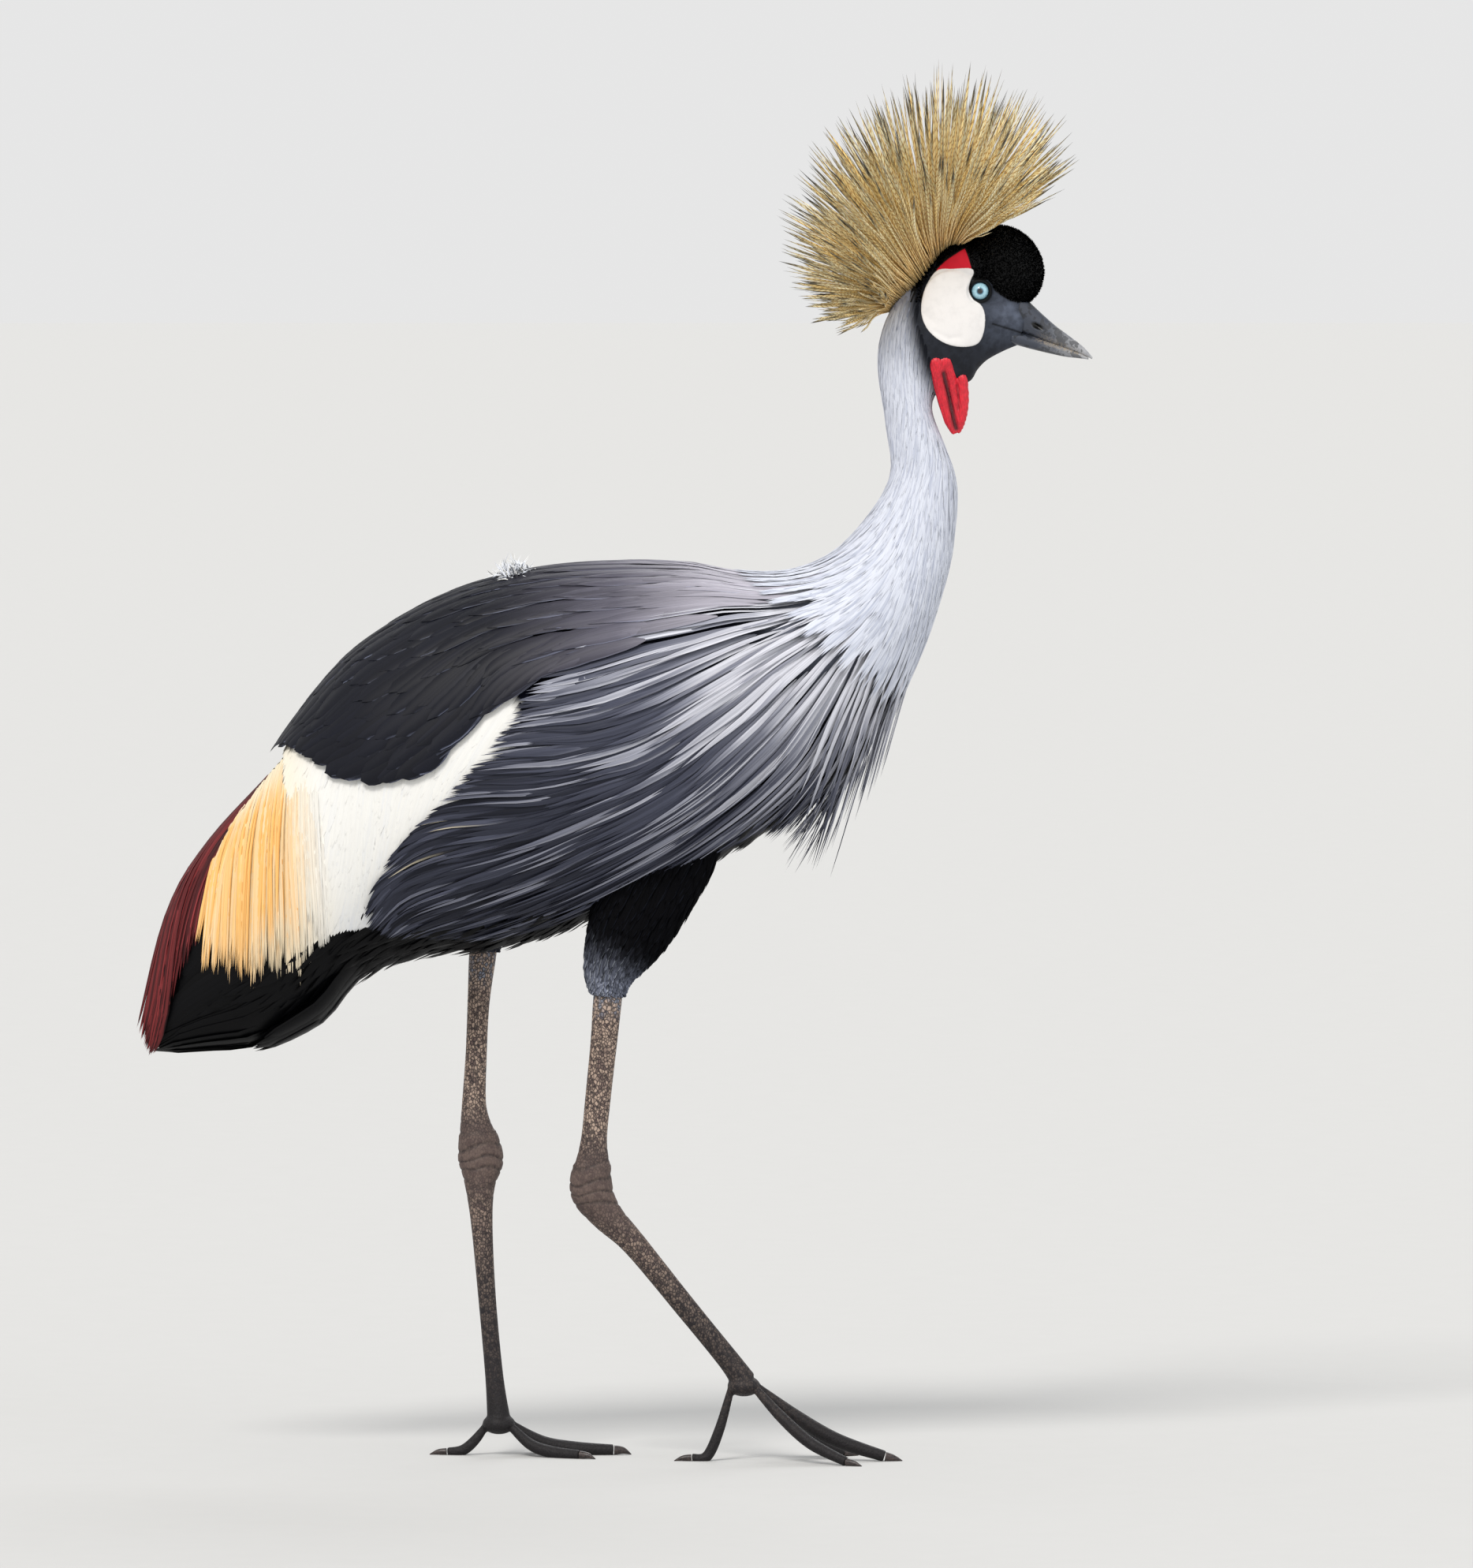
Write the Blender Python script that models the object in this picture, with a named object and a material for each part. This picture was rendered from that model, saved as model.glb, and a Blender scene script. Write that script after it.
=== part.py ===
"""A life-size grey crowned crane in mid stride, modelled as a still museum figure.

Metres, +Z up. The bird faces +X and turns its right side to -Y. The origin is on the floor,
under the middle of the figure's length. The skin is one smooth surface, from the base of the
bill over head, neck and body to the wing tips. A place on it is (s, angle): s counts the cross
sections below, and the angle runs from 0 on the back over 90 at the flank to 180 on the belly,
positive on the right side. Heights are measured out from the skin.
"""

import math
import random

import bmesh
import bpy
import numpy as np
from mathutils import Vector
from mathutils.bvhtree import BVHTree

MM = 0.001
GAP = 0.3 * MM

# Cross sections in mm: back x, back z, belly x, belly z, half width.
HEAD_SECTIONS = (
    (312.6, 879.6, 303.6, 847.2, 8.5),
    (299.4, 892.8, 292.2, 842.4, 12.0),
    (283.8, 907.2, 280.2, 835.8, 16.0),
    (267.0, 918.0, 273.0, 828.6, 19.5),
    (249.0, 919.8, 267.0, 819.6, 21.0),
    (224.0, 901.0, 252.0, 814.0, 20.5),
    (204.0, 870.0, 240.6, 810.0, 19.0),
)
NECK_SECTIONS = (
    (197.0, 834.0, 238.0, 796.0, 18.5),
    (203.4, 786.0, 247.4, 771.0, 19.5),
    (206.0, 746.0, 256.8, 740.0, 22.0),
    (180.0, 706.2, 253.8, 693.0, 33.0),
    (154.2, 685.2, 245.4, 657.0, 45.0),
)
BODY_SECTIONS = (
    (123.0, 675.6, 229.8, 612.0, 60.0),
    (87.0, 676.8, 205.8, 562.8, 78.0),
    (48.0, 683.4, 165.0, 510.0, 93.0),
    (-15.0, 683.8, 79.0, 455.0, 105.0),
    (-78.0, 676.2, -9.0, 412.0, 108.0),
    (-141.0, 655.5, -84.0, 387.0, 102.0),
    (-201.0, 618.0, -153.0, 379.2, 90.0),
    (-240.0, 575.0, -198.0, 361.0, 74.0),
    (-274.0, 526.0, -236.0, 334.0, 57.0),
    (-313.8, 471.0, -276.0, 316.8, 40.0),
    (-344.0, 410.0, -317.0, 312.5, 27.0),
    (-363.4, 328.0, -361.4, 309.0, 7.0),
)
SECTIONS = np.array(HEAD_SECTIONS + NECK_SECTIONS + BODY_SECTIONS) * MM

# Where the nodes part along the skin.
HEAD_END = 6.4
NECK_MIDDLE = 8.6
NECK_END = 10.6

# The plumage of the body stands this far out from the core that carries it.
COAT_DEPTH = 12 * MM
COAT_FULL_AT = 12.6
MANTLE_TOP = -7 * MM
COVERT_SLAB_TOP = -8 * MM
AROUND = 18
# The core and the plates on it share these rows and steps of the angle, so that they stay apart.
CORE_ROWS = (10.604, 11.3, 12.0, 12.6, 13.4, 14.3, 15.2, 16.1, 17.0, 17.65, 18.3, 18.9)
CORE_AROUND = 16
HEAD_ROWS = tuple(np.linspace(0, HEAD_END, 10))
NECK_UPPER_ROWS = tuple(np.linspace(HEAD_END + 0.008, NECK_MIDDLE - 0.004, 5))
NECK_LOWER_ROWS = tuple(np.linspace(NECK_MIDDLE + 0.004, NECK_END - 0.004, 5))
CORE_STEP = 360 / CORE_AROUND


def spline_rows(s):
    """The cross section at each s, as a smooth curve through the rows of SECTIONS."""
    last = len(SECTIONS) - 1
    s = np.clip(np.asarray(s, float), 0, last)
    i = np.minimum(s.astype(int), last - 1)
    t = (s - i)[..., None]
    before, start = SECTIONS[np.maximum(i - 1, 0)], SECTIONS[i]
    end, after = SECTIONS[i + 1], SECTIONS[np.minimum(i + 2, last)]
    return 0.5 * (
        2 * start
        + (end - before) * t
        + (2 * before - 5 * start + 4 * end - after) * t**2
        + (3 * start - before - 3 * end + after) * t**3
    )


def skin(s, angle):
    """Points of the skin at s and an angle in degrees."""
    row = spline_rows(s)
    c = np.cos(np.radians(angle))
    x = (row[..., 0] + row[..., 2]) / 2 + (row[..., 0] - row[..., 2]) / 2 * c
    z = (row[..., 1] + row[..., 3]) / 2 + (row[..., 1] - row[..., 3]) / 2 * c
    y = -row[..., 4] * np.sin(np.radians(angle))
    return np.stack([x, y, z], axis=-1)


def unit(v):
    return v / np.maximum(np.linalg.norm(v, axis=-1, keepdims=True), 1e-12)


def skin_frame(s, angle):
    """Point, outward normal, and the change of the point with s and with the angle."""
    s, angle = np.broadcast_arrays(np.asarray(s, float), np.asarray(angle, float))
    step_s, step_a = 0.03, 1.5
    ahead = np.minimum(s + step_s, len(SECTIONS) - 1)
    behind = np.maximum(s - step_s, 0)
    along = (skin(ahead, angle) - skin(behind, angle)) / (ahead - behind)[..., None]
    around = (skin(s, angle + step_a) - skin(s, angle - step_a)) / (2 * step_a)
    return skin(s, angle), unit(np.cross(along, around)), along, around


def raised(s, angle, height):
    point, normal, _, _ = skin_frame(s, angle)
    return point + normal * np.asarray(height)[..., None]


def coat_depth(s):
    """How deep the core lies under the skin: nothing on the neck, full depth on the body."""
    t = np.clip((np.asarray(s, float) - NECK_END) / (COAT_FULL_AT - NECK_END), 0, 1)
    return COAT_DEPTH * t


def material(name, rgb, roughness=0.6, metallic=0.0):
    made = bpy.data.materials.new(name)
    made.use_nodes = True
    shader = made.node_tree.nodes["Principled BSDF"]
    shader.inputs["Base Color"].default_value = (*rgb, 1)
    shader.inputs["Roughness"].default_value = roughness
    shader.inputs["Metallic"].default_value = metallic
    return made


def new_object(name, points, faces, look=None):
    """An object whose faces all point out."""
    mesh = bpy.data.meshes.new(name)
    mesh.from_pydata([tuple(p) for p in points], [], [tuple(f) for f in faces])
    shape = bmesh.new()
    shape.from_mesh(mesh)
    if shape.calc_volume(signed=True) < 0:
        bmesh.ops.reverse_faces(shape, faces=shape.faces)
    shape.to_mesh(mesh)
    shape.free()
    mesh.shade_smooth()
    made = bpy.data.objects.new(name, mesh)
    bpy.context.scene.collection.objects.link(made)
    if look:
        mesh.materials.append(look)
    return made


def tube_faces(rings, around):
    """Triangles round a tube of rings, with a fan at the closed ends."""
    faces = []
    for i in range(rings - 1):
        for j in range(around):
            a, b = i * around + j, i * around + (j + 1) % around
            c, d = b + around, a + around
            faces += [(a, b, c), (a, c, d)]
    first, last = rings * around, rings * around + 1
    for j in range(around):
        k = (j + 1) % around
        faces.append((first, k, j))
        end = (rings - 1) * around
        faces.append((last, end + j, end + k))
    return faces


def capped(rings):
    """Points of a tube of rings, followed by the middles of its first and last ring."""
    rings = np.asarray(rings, float)
    flat = rings.reshape(-1, 3)
    return np.concatenate([flat, [rings[0].mean(0)], [rings[-1].mean(0)]])


def skin_tube(name, s_values, look, depth=coat_depth, around=AROUND):
    """A closed stretch of the skin, or of the core under it."""
    s = np.asarray(s_values, float)[:, None]
    angles = np.arange(around)[None, :] * 360 / around
    ring_points = raised(s, angles, -depth(s) + 0 * angles)
    return new_object(name, capped(ring_points), tube_faces(len(s), around), look)


def skin_slab(name, s_values, angles, low, high, look):
    """A closed shell that lies on the skin, from one height to another."""
    s = np.asarray(s_values, float)[:, None]
    a = np.sort(np.asarray(angles, float))[None, :]
    rows, columns = s.shape[0], a.shape[1]
    bottom = raised(s, a, low + 0 * (s + a)).reshape(-1, 3)
    top = raised(s, a, high + 0 * (s + a)).reshape(-1, 3)
    faces, lift = [], rows * columns
    for i in range(rows - 1):
        for j in range(columns - 1):
            p = i * columns + j
            q, r, t = p + 1, p + columns + 1, p + columns
            faces += [(p, r, q), (p, t, r)]
            faces += [(p + lift, q + lift, r + lift), (p + lift, r + lift, t + lift)]
    rim = [j for j in range(columns)]
    rim += [i * columns + columns - 1 for i in range(1, rows)]
    rim += [(rows - 1) * columns + j for j in range(columns - 2, -1, -1)]
    rim += [i * columns for i in range(rows - 2, 0, -1)]
    for p, q in zip(rim, rim[1:] + rim[:1]):
        faces += [(p, q, q + lift), (p, q + lift, p + lift)]
    return new_object(name, np.concatenate([bottom, top]), faces, look)


# Cross sections of a feather: (share of the half width, share of the thickness).
LOCK_SECTION = ((-1, 0), (0, 1), (1, 0))
VANE_SECTION = ((-1, 0), (-1, 1), (1, 1), (1, 0))
LOCK_OUTLINE = ((0, 0.6), (0.35, 1), (0.72, 0.72))
VANE_OUTLINE = ((0, 0.6), (0.45, 1), (0.9, 0.8))


def feather(start, end, heights, width, thick, bow=0, section=LOCK_SECTION, outline=LOCK_OUTLINE):
    """A closed feather that lies along the skin from start to end, each a place (s, angle).

    heights holds its lift above the skin at the root, where it is widest, and at the tip.
    """
    t = np.array([place for place, _ in outline] + [1.0])
    half = np.array([share for _, share in outline] + [0.0]) * width / 2
    s = start[0] + (end[0] - start[0]) * t
    a = start[1] + (end[1] - start[1]) * t + bow * np.sin(np.pi * t)
    h = np.interp(t, (0, outline[1][0], 1), heights)
    path, normal, along, around = skin_frame(s, a)
    lengthwise = unit(np.gradient(path + normal * h[:, None], axis=0))
    sideways = unit(np.cross(normal, lengthwise))
    # The sideways step, told in s and angle, keeps a wide feather on the curved skin.
    gram = np.stack([along, around], axis=-1)
    steps = np.einsum("nij,nj->ni", np.linalg.pinv(gram), sideways)
    rings = []
    for across, up in section:
        reach = across * half
        points = raised(s + steps[:, 0] * reach, a + steps[:, 1] * reach, h + up * thick)
        rings.append(points)
    rings = np.stack(rings, axis=1)
    count = len(section)
    tip = path[-1] + normal[-1] * (h[-1] + thick * 0.3)
    body = rings[:-1].reshape(-1, 3)
    rows = len(outline)
    points = np.concatenate([body, [tip], [rings[0].mean(0)]])
    faces = []
    for i in range(rows - 1):
        for j in range(count):
            p, q = i * count + j, i * count + (j + 1) % count
            r, u = q + count, p + count
            if j < count / 2:
                faces += [(p, q, r), (p, r, u)]
            else:
                faces += [(p, q, u), (q, r, u)]
    end_ring, tip_at, root_at = (rows - 1) * count, rows * count, rows * count + 1
    for j in range(count):
        k = (j + 1) % count
        faces.append((end_ring + j, end_ring + k, tip_at))
        faces.append((root_at, k, j))
    return points, faces


def largest_surface(shape):
    """Drops every closed surface of a bmesh but the largest."""
    left, groups = set(shape.faces), []
    while left:
        group, front = set(), [left.pop()]
        while front:
            face = front.pop()
            group.add(face)
            for edge in face.edges:
                for other in edge.link_faces:
                    if other in left:
                        left.discard(other)
                        front.append(other)
        groups.append(group)
    groups.sort(key=lambda g: sum(face.calc_area() for face in g))
    scraps = [face for group in groups[:-1] for face in group]
    bmesh.ops.delete(shape, geom=scraps, context="FACES")


def fuse(base, pieces, cutters=(), solver="MANIFOLD"):
    """Joins closed shapes, given as (points, faces) or objects, to the base, and cuts the cutters out."""
    for operation, group in (("UNION", pieces), ("DIFFERENCE", cutters)):
        if not group:
            continue
        holder = bpy.data.collections.new("joined")
        bpy.context.scene.collection.children.link(holder)
        for number, piece in enumerate(group):
            if isinstance(piece, tuple):
                piece = new_object(f"piece{number}", *piece)
            bpy.context.scene.collection.objects.unlink(piece)
            holder.objects.link(piece)
        modifier = base.modifiers.new("join", "BOOLEAN")
        modifier.operation = operation
        modifier.operand_type = "COLLECTION"
        modifier.collection = holder
        modifier.solver = solver
        graph = bpy.context.evaluated_depsgraph_get()
        joined = bpy.data.meshes.new_from_object(base.evaluated_get(graph))
        base.modifiers.clear()
        look = base.data.materials[:1]
        base.data = joined
        base.data.materials.clear()
        for slot in look:
            base.data.materials.append(slot)
        for piece in list(holder.objects):
            bpy.data.objects.remove(piece)
        bpy.data.collections.remove(holder)
    shape = bmesh.new()
    shape.from_mesh(base.data)
    bmesh.ops.triangulate(shape, faces=shape.faces)
    largest_surface(shape)
    for face in shape.faces:
        face.material_index = 0
    shape.to_mesh(base.data)
    shape.free()
    return base


def ellipsoid(centre, radii, tilt=0.0, rings=8, around=14):
    """A closed ball stretched along its own axes, turned by tilt degrees in the XZ plane."""
    c, sn = math.cos(math.radians(tilt)), math.sin(math.radians(tilt))
    points = []
    for i in range(1, rings):
        up = math.pi * i / rings
        for j in range(around):
            turn = 2 * math.pi * j / around
            x = radii[0] * math.sin(up) * math.cos(turn)
            y = radii[1] * math.sin(up) * math.sin(turn)
            z = radii[2] * math.cos(up)
            points.append((x, y, z))
    points += [(0, 0, radii[2]), (0, 0, -radii[2])]
    turned = [(x * c - z * sn, y, x * sn + z * c) for x, y, z in points]
    placed = np.array(turned) + np.array(centre)
    return placed, tube_faces(rings - 1, around)


def limb(path, radii, around=8, steps=2):
    """A closed tube along a path in mm, with (in the stride's plane, sideways) radii in mm."""
    path = np.array(path, float) * MM
    radii = np.array(radii, float) * MM
    rows = np.concatenate([path, radii], axis=1)
    fine = []
    last = len(rows) - 1
    for i in range(last):
        before, start = rows[max(i - 1, 0)], rows[i]
        end, after = rows[i + 1], rows[min(i + 2, last)]
        for k in range(steps):
            t = k / steps
            fine.append(
                0.5
                * (
                    2 * start
                    + (end - before) * t
                    + (2 * before - 5 * start + 4 * end - after) * t**2
                    + (3 * start - before - 3 * end + after) * t**3
                )
            )
    fine.append(rows[-1])
    fine = np.array(fine)
    centres, sizes = fine[:, :3], fine[:, 3:]
    direction = unit(np.gradient(centres, axis=0))
    sideways = unit(np.cross(direction, (0.0, 1.0, 0.0)))
    level = unit(np.cross(sideways, direction))
    turn = np.arange(around) * 2 * math.pi / around
    rings = (
        centres[:, None, :]
        + sideways[:, None, :] * (np.cos(turn)[None, :] * sizes[:, :1])[..., None]
        + level[:, None, :] * (np.sin(turn)[None, :] * sizes[:, 1:])[..., None]
    )
    return capped(rings), tube_faces(len(fine), around)


def flat_sole(made):
    """Cuts away what a toe has under the floor, which leaves the flat that it stands on."""
    shape = bmesh.new()
    shape.from_mesh(made.data)
    parts = shape.verts[:] + shape.edges[:] + shape.faces[:]
    cut = bmesh.ops.bisect_plane(
        shape, geom=parts, plane_co=(0, 0, 0), plane_no=(0, 0, -1), clear_outer=True
    )
    edges = [e for e in cut["geom_cut"] if isinstance(e, bmesh.types.BMEdge)]
    bmesh.ops.holes_fill(shape, edges=edges)
    bmesh.ops.triangulate(shape, faces=shape.faces)
    bmesh.ops.recalc_face_normals(shape, faces=shape.faces)
    shape.to_mesh(made.data)
    shape.free()


# The head.
EYE_AT = (274.2 * MM, 888.6 * MM)
EYE_RADIUS = 8.0 * MM
EYE_OUT = 10.6 * MM
PAD_AT = (292.8 * MM, 0.0, 908.4 * MM)
PAD_RADII = (29.5 * MM, 16.5 * MM, 28.0 * MM)
PAD_TILT = -28.0
CHEEK_AT = (252.5 * MM, 875.0 * MM)
CHEEK_RADII = (24.0 * MM, 5.0 * MM, 29.0 * MM)
CHEEK_OUT = 16.3 * MM


def eyelid(side):
    """The ring of bare skin round the eye."""
    rings, around = 12, 4
    major, minor = 8.0 * MM, 1.5 * MM
    out = side * 16.6 * MM
    points = []
    for i in range(rings):
        turn = 2 * math.pi * i / rings
        for j in range(around):
            tube = 2 * math.pi * j / around
            reach = major + minor * math.cos(tube)
            points.append(
                (
                    EYE_AT[0] + reach * math.cos(turn),
                    out + minor * math.sin(tube),
                    EYE_AT[1] + reach * math.sin(turn),
                )
            )
    faces = []
    for i in range(rings):
        for j in range(around):
            a, b = i * around + j, i * around + (j + 1) % around
            c = ((i + 1) % rings) * around + (j + 1) % around
            d = ((i + 1) % rings) * around + j
            faces += [(a, b, c), (a, c, d)]
    return np.array(points), faces


def pad_and_cheeks(grow=0.0):
    """The velvet pad of the forehead and the two bare cheeks."""
    pad = [radius + grow for radius in PAD_RADII]
    cheek = [radius + grow for radius in CHEEK_RADII]
    forms = [ellipsoid(PAD_AT, pad, PAD_TILT, rings=7, around=12)]
    for side in (-1, 1):
        cheek_at = (CHEEK_AT[0], side * CHEEK_OUT, CHEEK_AT[1])
        forms.append(ellipsoid(cheek_at, cheek, 0, rings=5, around=10))
    return forms


def head_clearance():
    """Closed shapes that stand a gap out from head and neck, to cut what lies against them."""

    def outside(s):
        return -GAP + 0 * s

    shapes = [skin_tube("head_clearance", HEAD_ROWS + NECK_UPPER_ROWS, None, outside)]
    for number, form in enumerate(pad_and_cheeks(GAP)):
        shapes.append(new_object(f"form_clearance{number}", *form))
    return shapes


def make_head(looks):
    head = skin_tube("head", HEAD_ROWS, looks["face"])
    forms = pad_and_cheeks()
    sockets = []
    for side in (-1, 1):
        forms.append(eyelid(side))
        eye_at = (EYE_AT[0], side * EYE_OUT, EYE_AT[1])
        sockets.append(ellipsoid(eye_at, (EYE_RADIUS + GAP,) * 3, 0, rings=6, around=10))
        name = "eye_right" if side < 0 else "eye_left"
        ball = ellipsoid(eye_at, (EYE_RADIUS,) * 3, 0, rings=6, around=10)
        new_object(name, *ball, looks["eye"])
    fuse(head, forms, sockets)
    return head


# The bill's halves: ridge x, ridge z, edge x, edge z, half width, in mm, from the base to the tip.
UPPER_BILL = (
    (312.9, 879.4, 306.3, 856.2, 8.3),
    (322.2, 870.6, 315.2, 853.4, 7.3),
    (331.8, 862.2, 327.0, 849.2, 6.0),
    (342.6, 854.2, 340.2, 844.6, 4.4),
    (352.8, 846.2, 351.6, 840.4, 2.7),
    (360.0, 838.2, 359.6, 836.8, 0.9),
)
LOWER_BILL = (
    (306.1, 855.8, 303.9, 847.0, 7.8),
    (315.0, 853.0, 312.6, 844.6, 6.8),
    (326.9, 848.8, 325.8, 841.4, 5.5),
    (340.1, 844.2, 339.0, 838.6, 3.9),
    (351.5, 840.0, 351.0, 837.2, 2.2),
    (357.0, 837.3, 356.8, 836.5, 0.8),
)
NOSTRIL_AT = (321.5 * MM, 6.9 * MM, 861.5 * MM)
NOSTRIL_RADII = (4.2 * MM, 1.6 * MM, 1.5 * MM)
NOSTRIL_TILT = -28.0


def bill_half(name, rows, look):
    rings, around = [], 12
    for ridge_x, ridge_z, edge_x, edge_z, half in rows:
        turn = np.arange(around) * 2 * math.pi / around
        x = (ridge_x + edge_x) / 2 + (ridge_x - edge_x) / 2 * np.cos(turn)
        z = (ridge_z + edge_z) / 2 + (ridge_z - edge_z) / 2 * np.cos(turn)
        y = -half * np.sin(turn)
        rings.append(np.stack([x, y, z], axis=-1) * MM)
    return new_object(name, capped(rings), tube_faces(len(rows), around), look)


def make_bill(looks):
    upper = bill_half("bill_upper", UPPER_BILL, looks["bill"])
    holes = []
    for side in (-1, 1):
        x, y, z = NOSTRIL_AT
        holes.append(ellipsoid((x, side * y, z), NOSTRIL_RADII, NOSTRIL_TILT, rings=5, around=8))
    fuse(upper, [], holes)
    bill_half("bill_lower", LOWER_BILL, looks["bill"])


# The crest: bristles that fan out from a patch on the hind crown.
CREST_START, CREST_END, CREST_ANGLE = 3.5, 5.95, 31
CREST_BASE_HEIGHT = 2.2 * MM
CREST_BRISTLES = 90
CREST_CENTRE = (238 * MM, 0.0, 911 * MM)
# Reach from the crest's centre for directions in degrees above straight ahead.
CREST_REACH = (
    (20, 100), (34, 133), (43, 149), (58, 152), (79, 154), (90, 150), (102, 138), (136, 128), (160, 123), (183, 112),
    (209, 99), (222, 84),
)
BRISTLE_RADIUS = 0.9 * MM


def bristle(root, tip, bend):
    """A three-sided spike, slightly bent, with its root sunk in the crest's base."""
    direction = unit(tip - root)
    side = unit(np.cross(direction, (0.31, 0.11, 0.94)))
    other = np.cross(direction, side)
    rings = []
    for share, size in ((0.0, 1.0), (0.62, 0.85)):
        centre = root + (tip - root) * share + bend * math.sin(math.pi * share)
        turn = np.arange(3) * 2 * math.pi / 3
        spread = np.cos(turn)[:, None] * side + np.sin(turn)[:, None] * other
        rings.append(centre + spread * BRISTLE_RADIUS * size)
    points = np.concatenate([rings[0], rings[1], [tip]])
    faces = [(2, 1, 0)]
    for j in range(3):
        k = (j + 1) % 3
        faces += [(j, k, k + 3), (j, k + 3, j + 3), (j + 3, k + 3, 6)]
    return points, faces


def make_crest(looks, obstacles):
    """Bristles in pairs, one on each side, from a seeded spread. One that would run into the head
    or neck is left out."""
    s_values = np.linspace(CREST_START, CREST_END, 5)
    angles = np.linspace(-CREST_ANGLE, CREST_ANGLE, 5)
    base = skin_slab("crest", s_values, angles, -MM, CREST_BASE_HEIGHT, looks["crest"])
    draw = random.Random(7)
    centre = np.array(CREST_CENTRE)
    reach_at, reach = zip(*CREST_REACH)
    bristles, tries = [], 0
    while len(bristles) < CREST_BRISTLES:
        tries += 1
        place = (tries * 0.6180339887) % 1
        across = 0.04 + 0.96 * ((tries * 0.7548776662) % 1)
        s = CREST_START + 0.12 + (CREST_END - CREST_START - 0.24) * place
        up = 36 + 180 * place + draw.uniform(-6, 6)
        out = across * 62 + draw.uniform(-4, 4)
        length = np.interp(up, reach_at, reach) * (1 - 0.12 * across) * draw.uniform(0.92, 1.02) * MM
        bend = np.array((0, 0, draw.uniform(-2.5, 1.5) * MM))
        for side in (-1, 1):
            turn, lift = math.radians(side * out), math.radians(up + side * 1.8)
            aim = (math.cos(lift) * math.cos(turn), -math.sin(turn), math.sin(lift) * math.cos(turn))
            root = raised(s, side * across * (CREST_ANGLE - 5), np.array(0.9 * MM))
            tip = centre + np.array(aim) * length
            start = root + unit(tip - root) * 6 * MM
            way = tip - start
            clear = all(
                tree.ray_cast(Vector(start), Vector(unit(way)), np.linalg.norm(way))[0] is None
                and tree.find_nearest(Vector(start + way * share))[3] > 2.0 * MM
                for tree in obstacles
                for share in (0.1, 0.25, 0.5, 1.0)
            )
            if clear:
                bristles.append(bristle(root, tip, bend))
    fuse(base, bristles, head_clearance())


# The wattle: a pair of folded lobes that hang from the throat, with a rear and a front fold each.
WATTLE_FOLDS = (
    ((241.0, 11.5, 832.0), (245.5, 8.5, 814.0), (249.5, 6.4, 797.0), (255.5, 4.4, 781.0)),
    ((261.0, 6.2, 824.0), (260.8, 6.0, 808.0), (259.8, 5.2, 794.0), (257.0, 4.4, 781.0)),
)
FOLD_RADII = (
    ((4.6, 4.2), (6.6, 5.0), (7.0, 5.2), (2.6, 3.0)),
    ((3.4, 4.2), (4.8, 5.0), (5.2, 5.0), (2.6, 3.0)),
)


def make_wattle(looks):
    folds = []
    for side in (-1, 1):
        for fold, radii in zip(WATTLE_FOLDS, FOLD_RADII):
            folds.append(limb([(x, side * y, z) for x, y, z in fold], radii, 8, 1))
    wattle = new_object("wattle", *folds[0], looks["wattle"])
    fuse(wattle, folds[1:], head_clearance())


def make_neck(looks):
    skin_tube("neck_upper", NECK_UPPER_ROWS, looks["neck"])
    skin_tube("neck_lower", NECK_LOWER_ROWS, looks["neck"])


# Plume rows of breast and flank on each side: root s, length in s, first and last angle of the roots
# and of the tips, how many, width in mm, height of the middle over the skin in mm.
PLUME_ROWS = (
    (10.75, 2.3, (14, 166), (15, 168), 6, 14, -6.0),
    (11.75, 2.4, (12, 170), (16, 172), 7, 16, -7.0),
    (12.75, 2.4, (46, 170), (60, 172), 6, 17, -7.5),
    (13.8, 2.4, (52, 126), (72, 140), 5, 18, -6.0),
    (14.9, 2.4, (62, 122), (88, 136), 4, 18, -6.0),
    (15.9, 2.5, (78, 126), (108, 140), 4, 17, -3.4),
)
ROOT_SUNK = 2.5 * MM
PLUME_THICK = 2.4 * MM


def make_torso(looks):
    """The core of breast, back and belly, with the long plumes that flow down over it."""
    torso = skin_tube("torso", CORE_ROWS, looks["flank"], around=CORE_AROUND)
    draw = random.Random(21)
    plumes = []
    for root_s, length, roots, tips, count, width, middle in PLUME_ROWS:
        for side in (-1, 1):
            for k in range(count):
                share = k / (count - 1)
                s = root_s + draw.uniform(-0.12, 0.12)
                start = (s, side * (roots[0] + (roots[1] - roots[0]) * share))
                end_s = s + length * draw.uniform(0.88, 1.06)
                end = (end_s, side * (tips[0] + (tips[1] - tips[0]) * share))
                low = -float(coat_depth(s)) - ROOT_SUNK
                widest = max(middle * MM, -float(coat_depth(s + 0.8)) + MM)
                heights = (low, widest, (-1.2 if k % 2 else -3.6) * MM)
                wide = width * draw.uniform(0.94, 1.08) * MM
                plumes.append(feather(start, end, heights, wide, PLUME_THICK, bow=side * 2))
    plumes += hanging_plumes(draw)
    fuse(torso, plumes)


# The longest breast plumes hang free below the breast: side view x, z of the tip in mm, and y.
HANGING_TIPS = ((135, 444, -8), (150, 464, 16), (162, 478, -20), (120, 462, 28), (176, 504, 4))
HANGING_ROOT_S = 12.4


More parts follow.
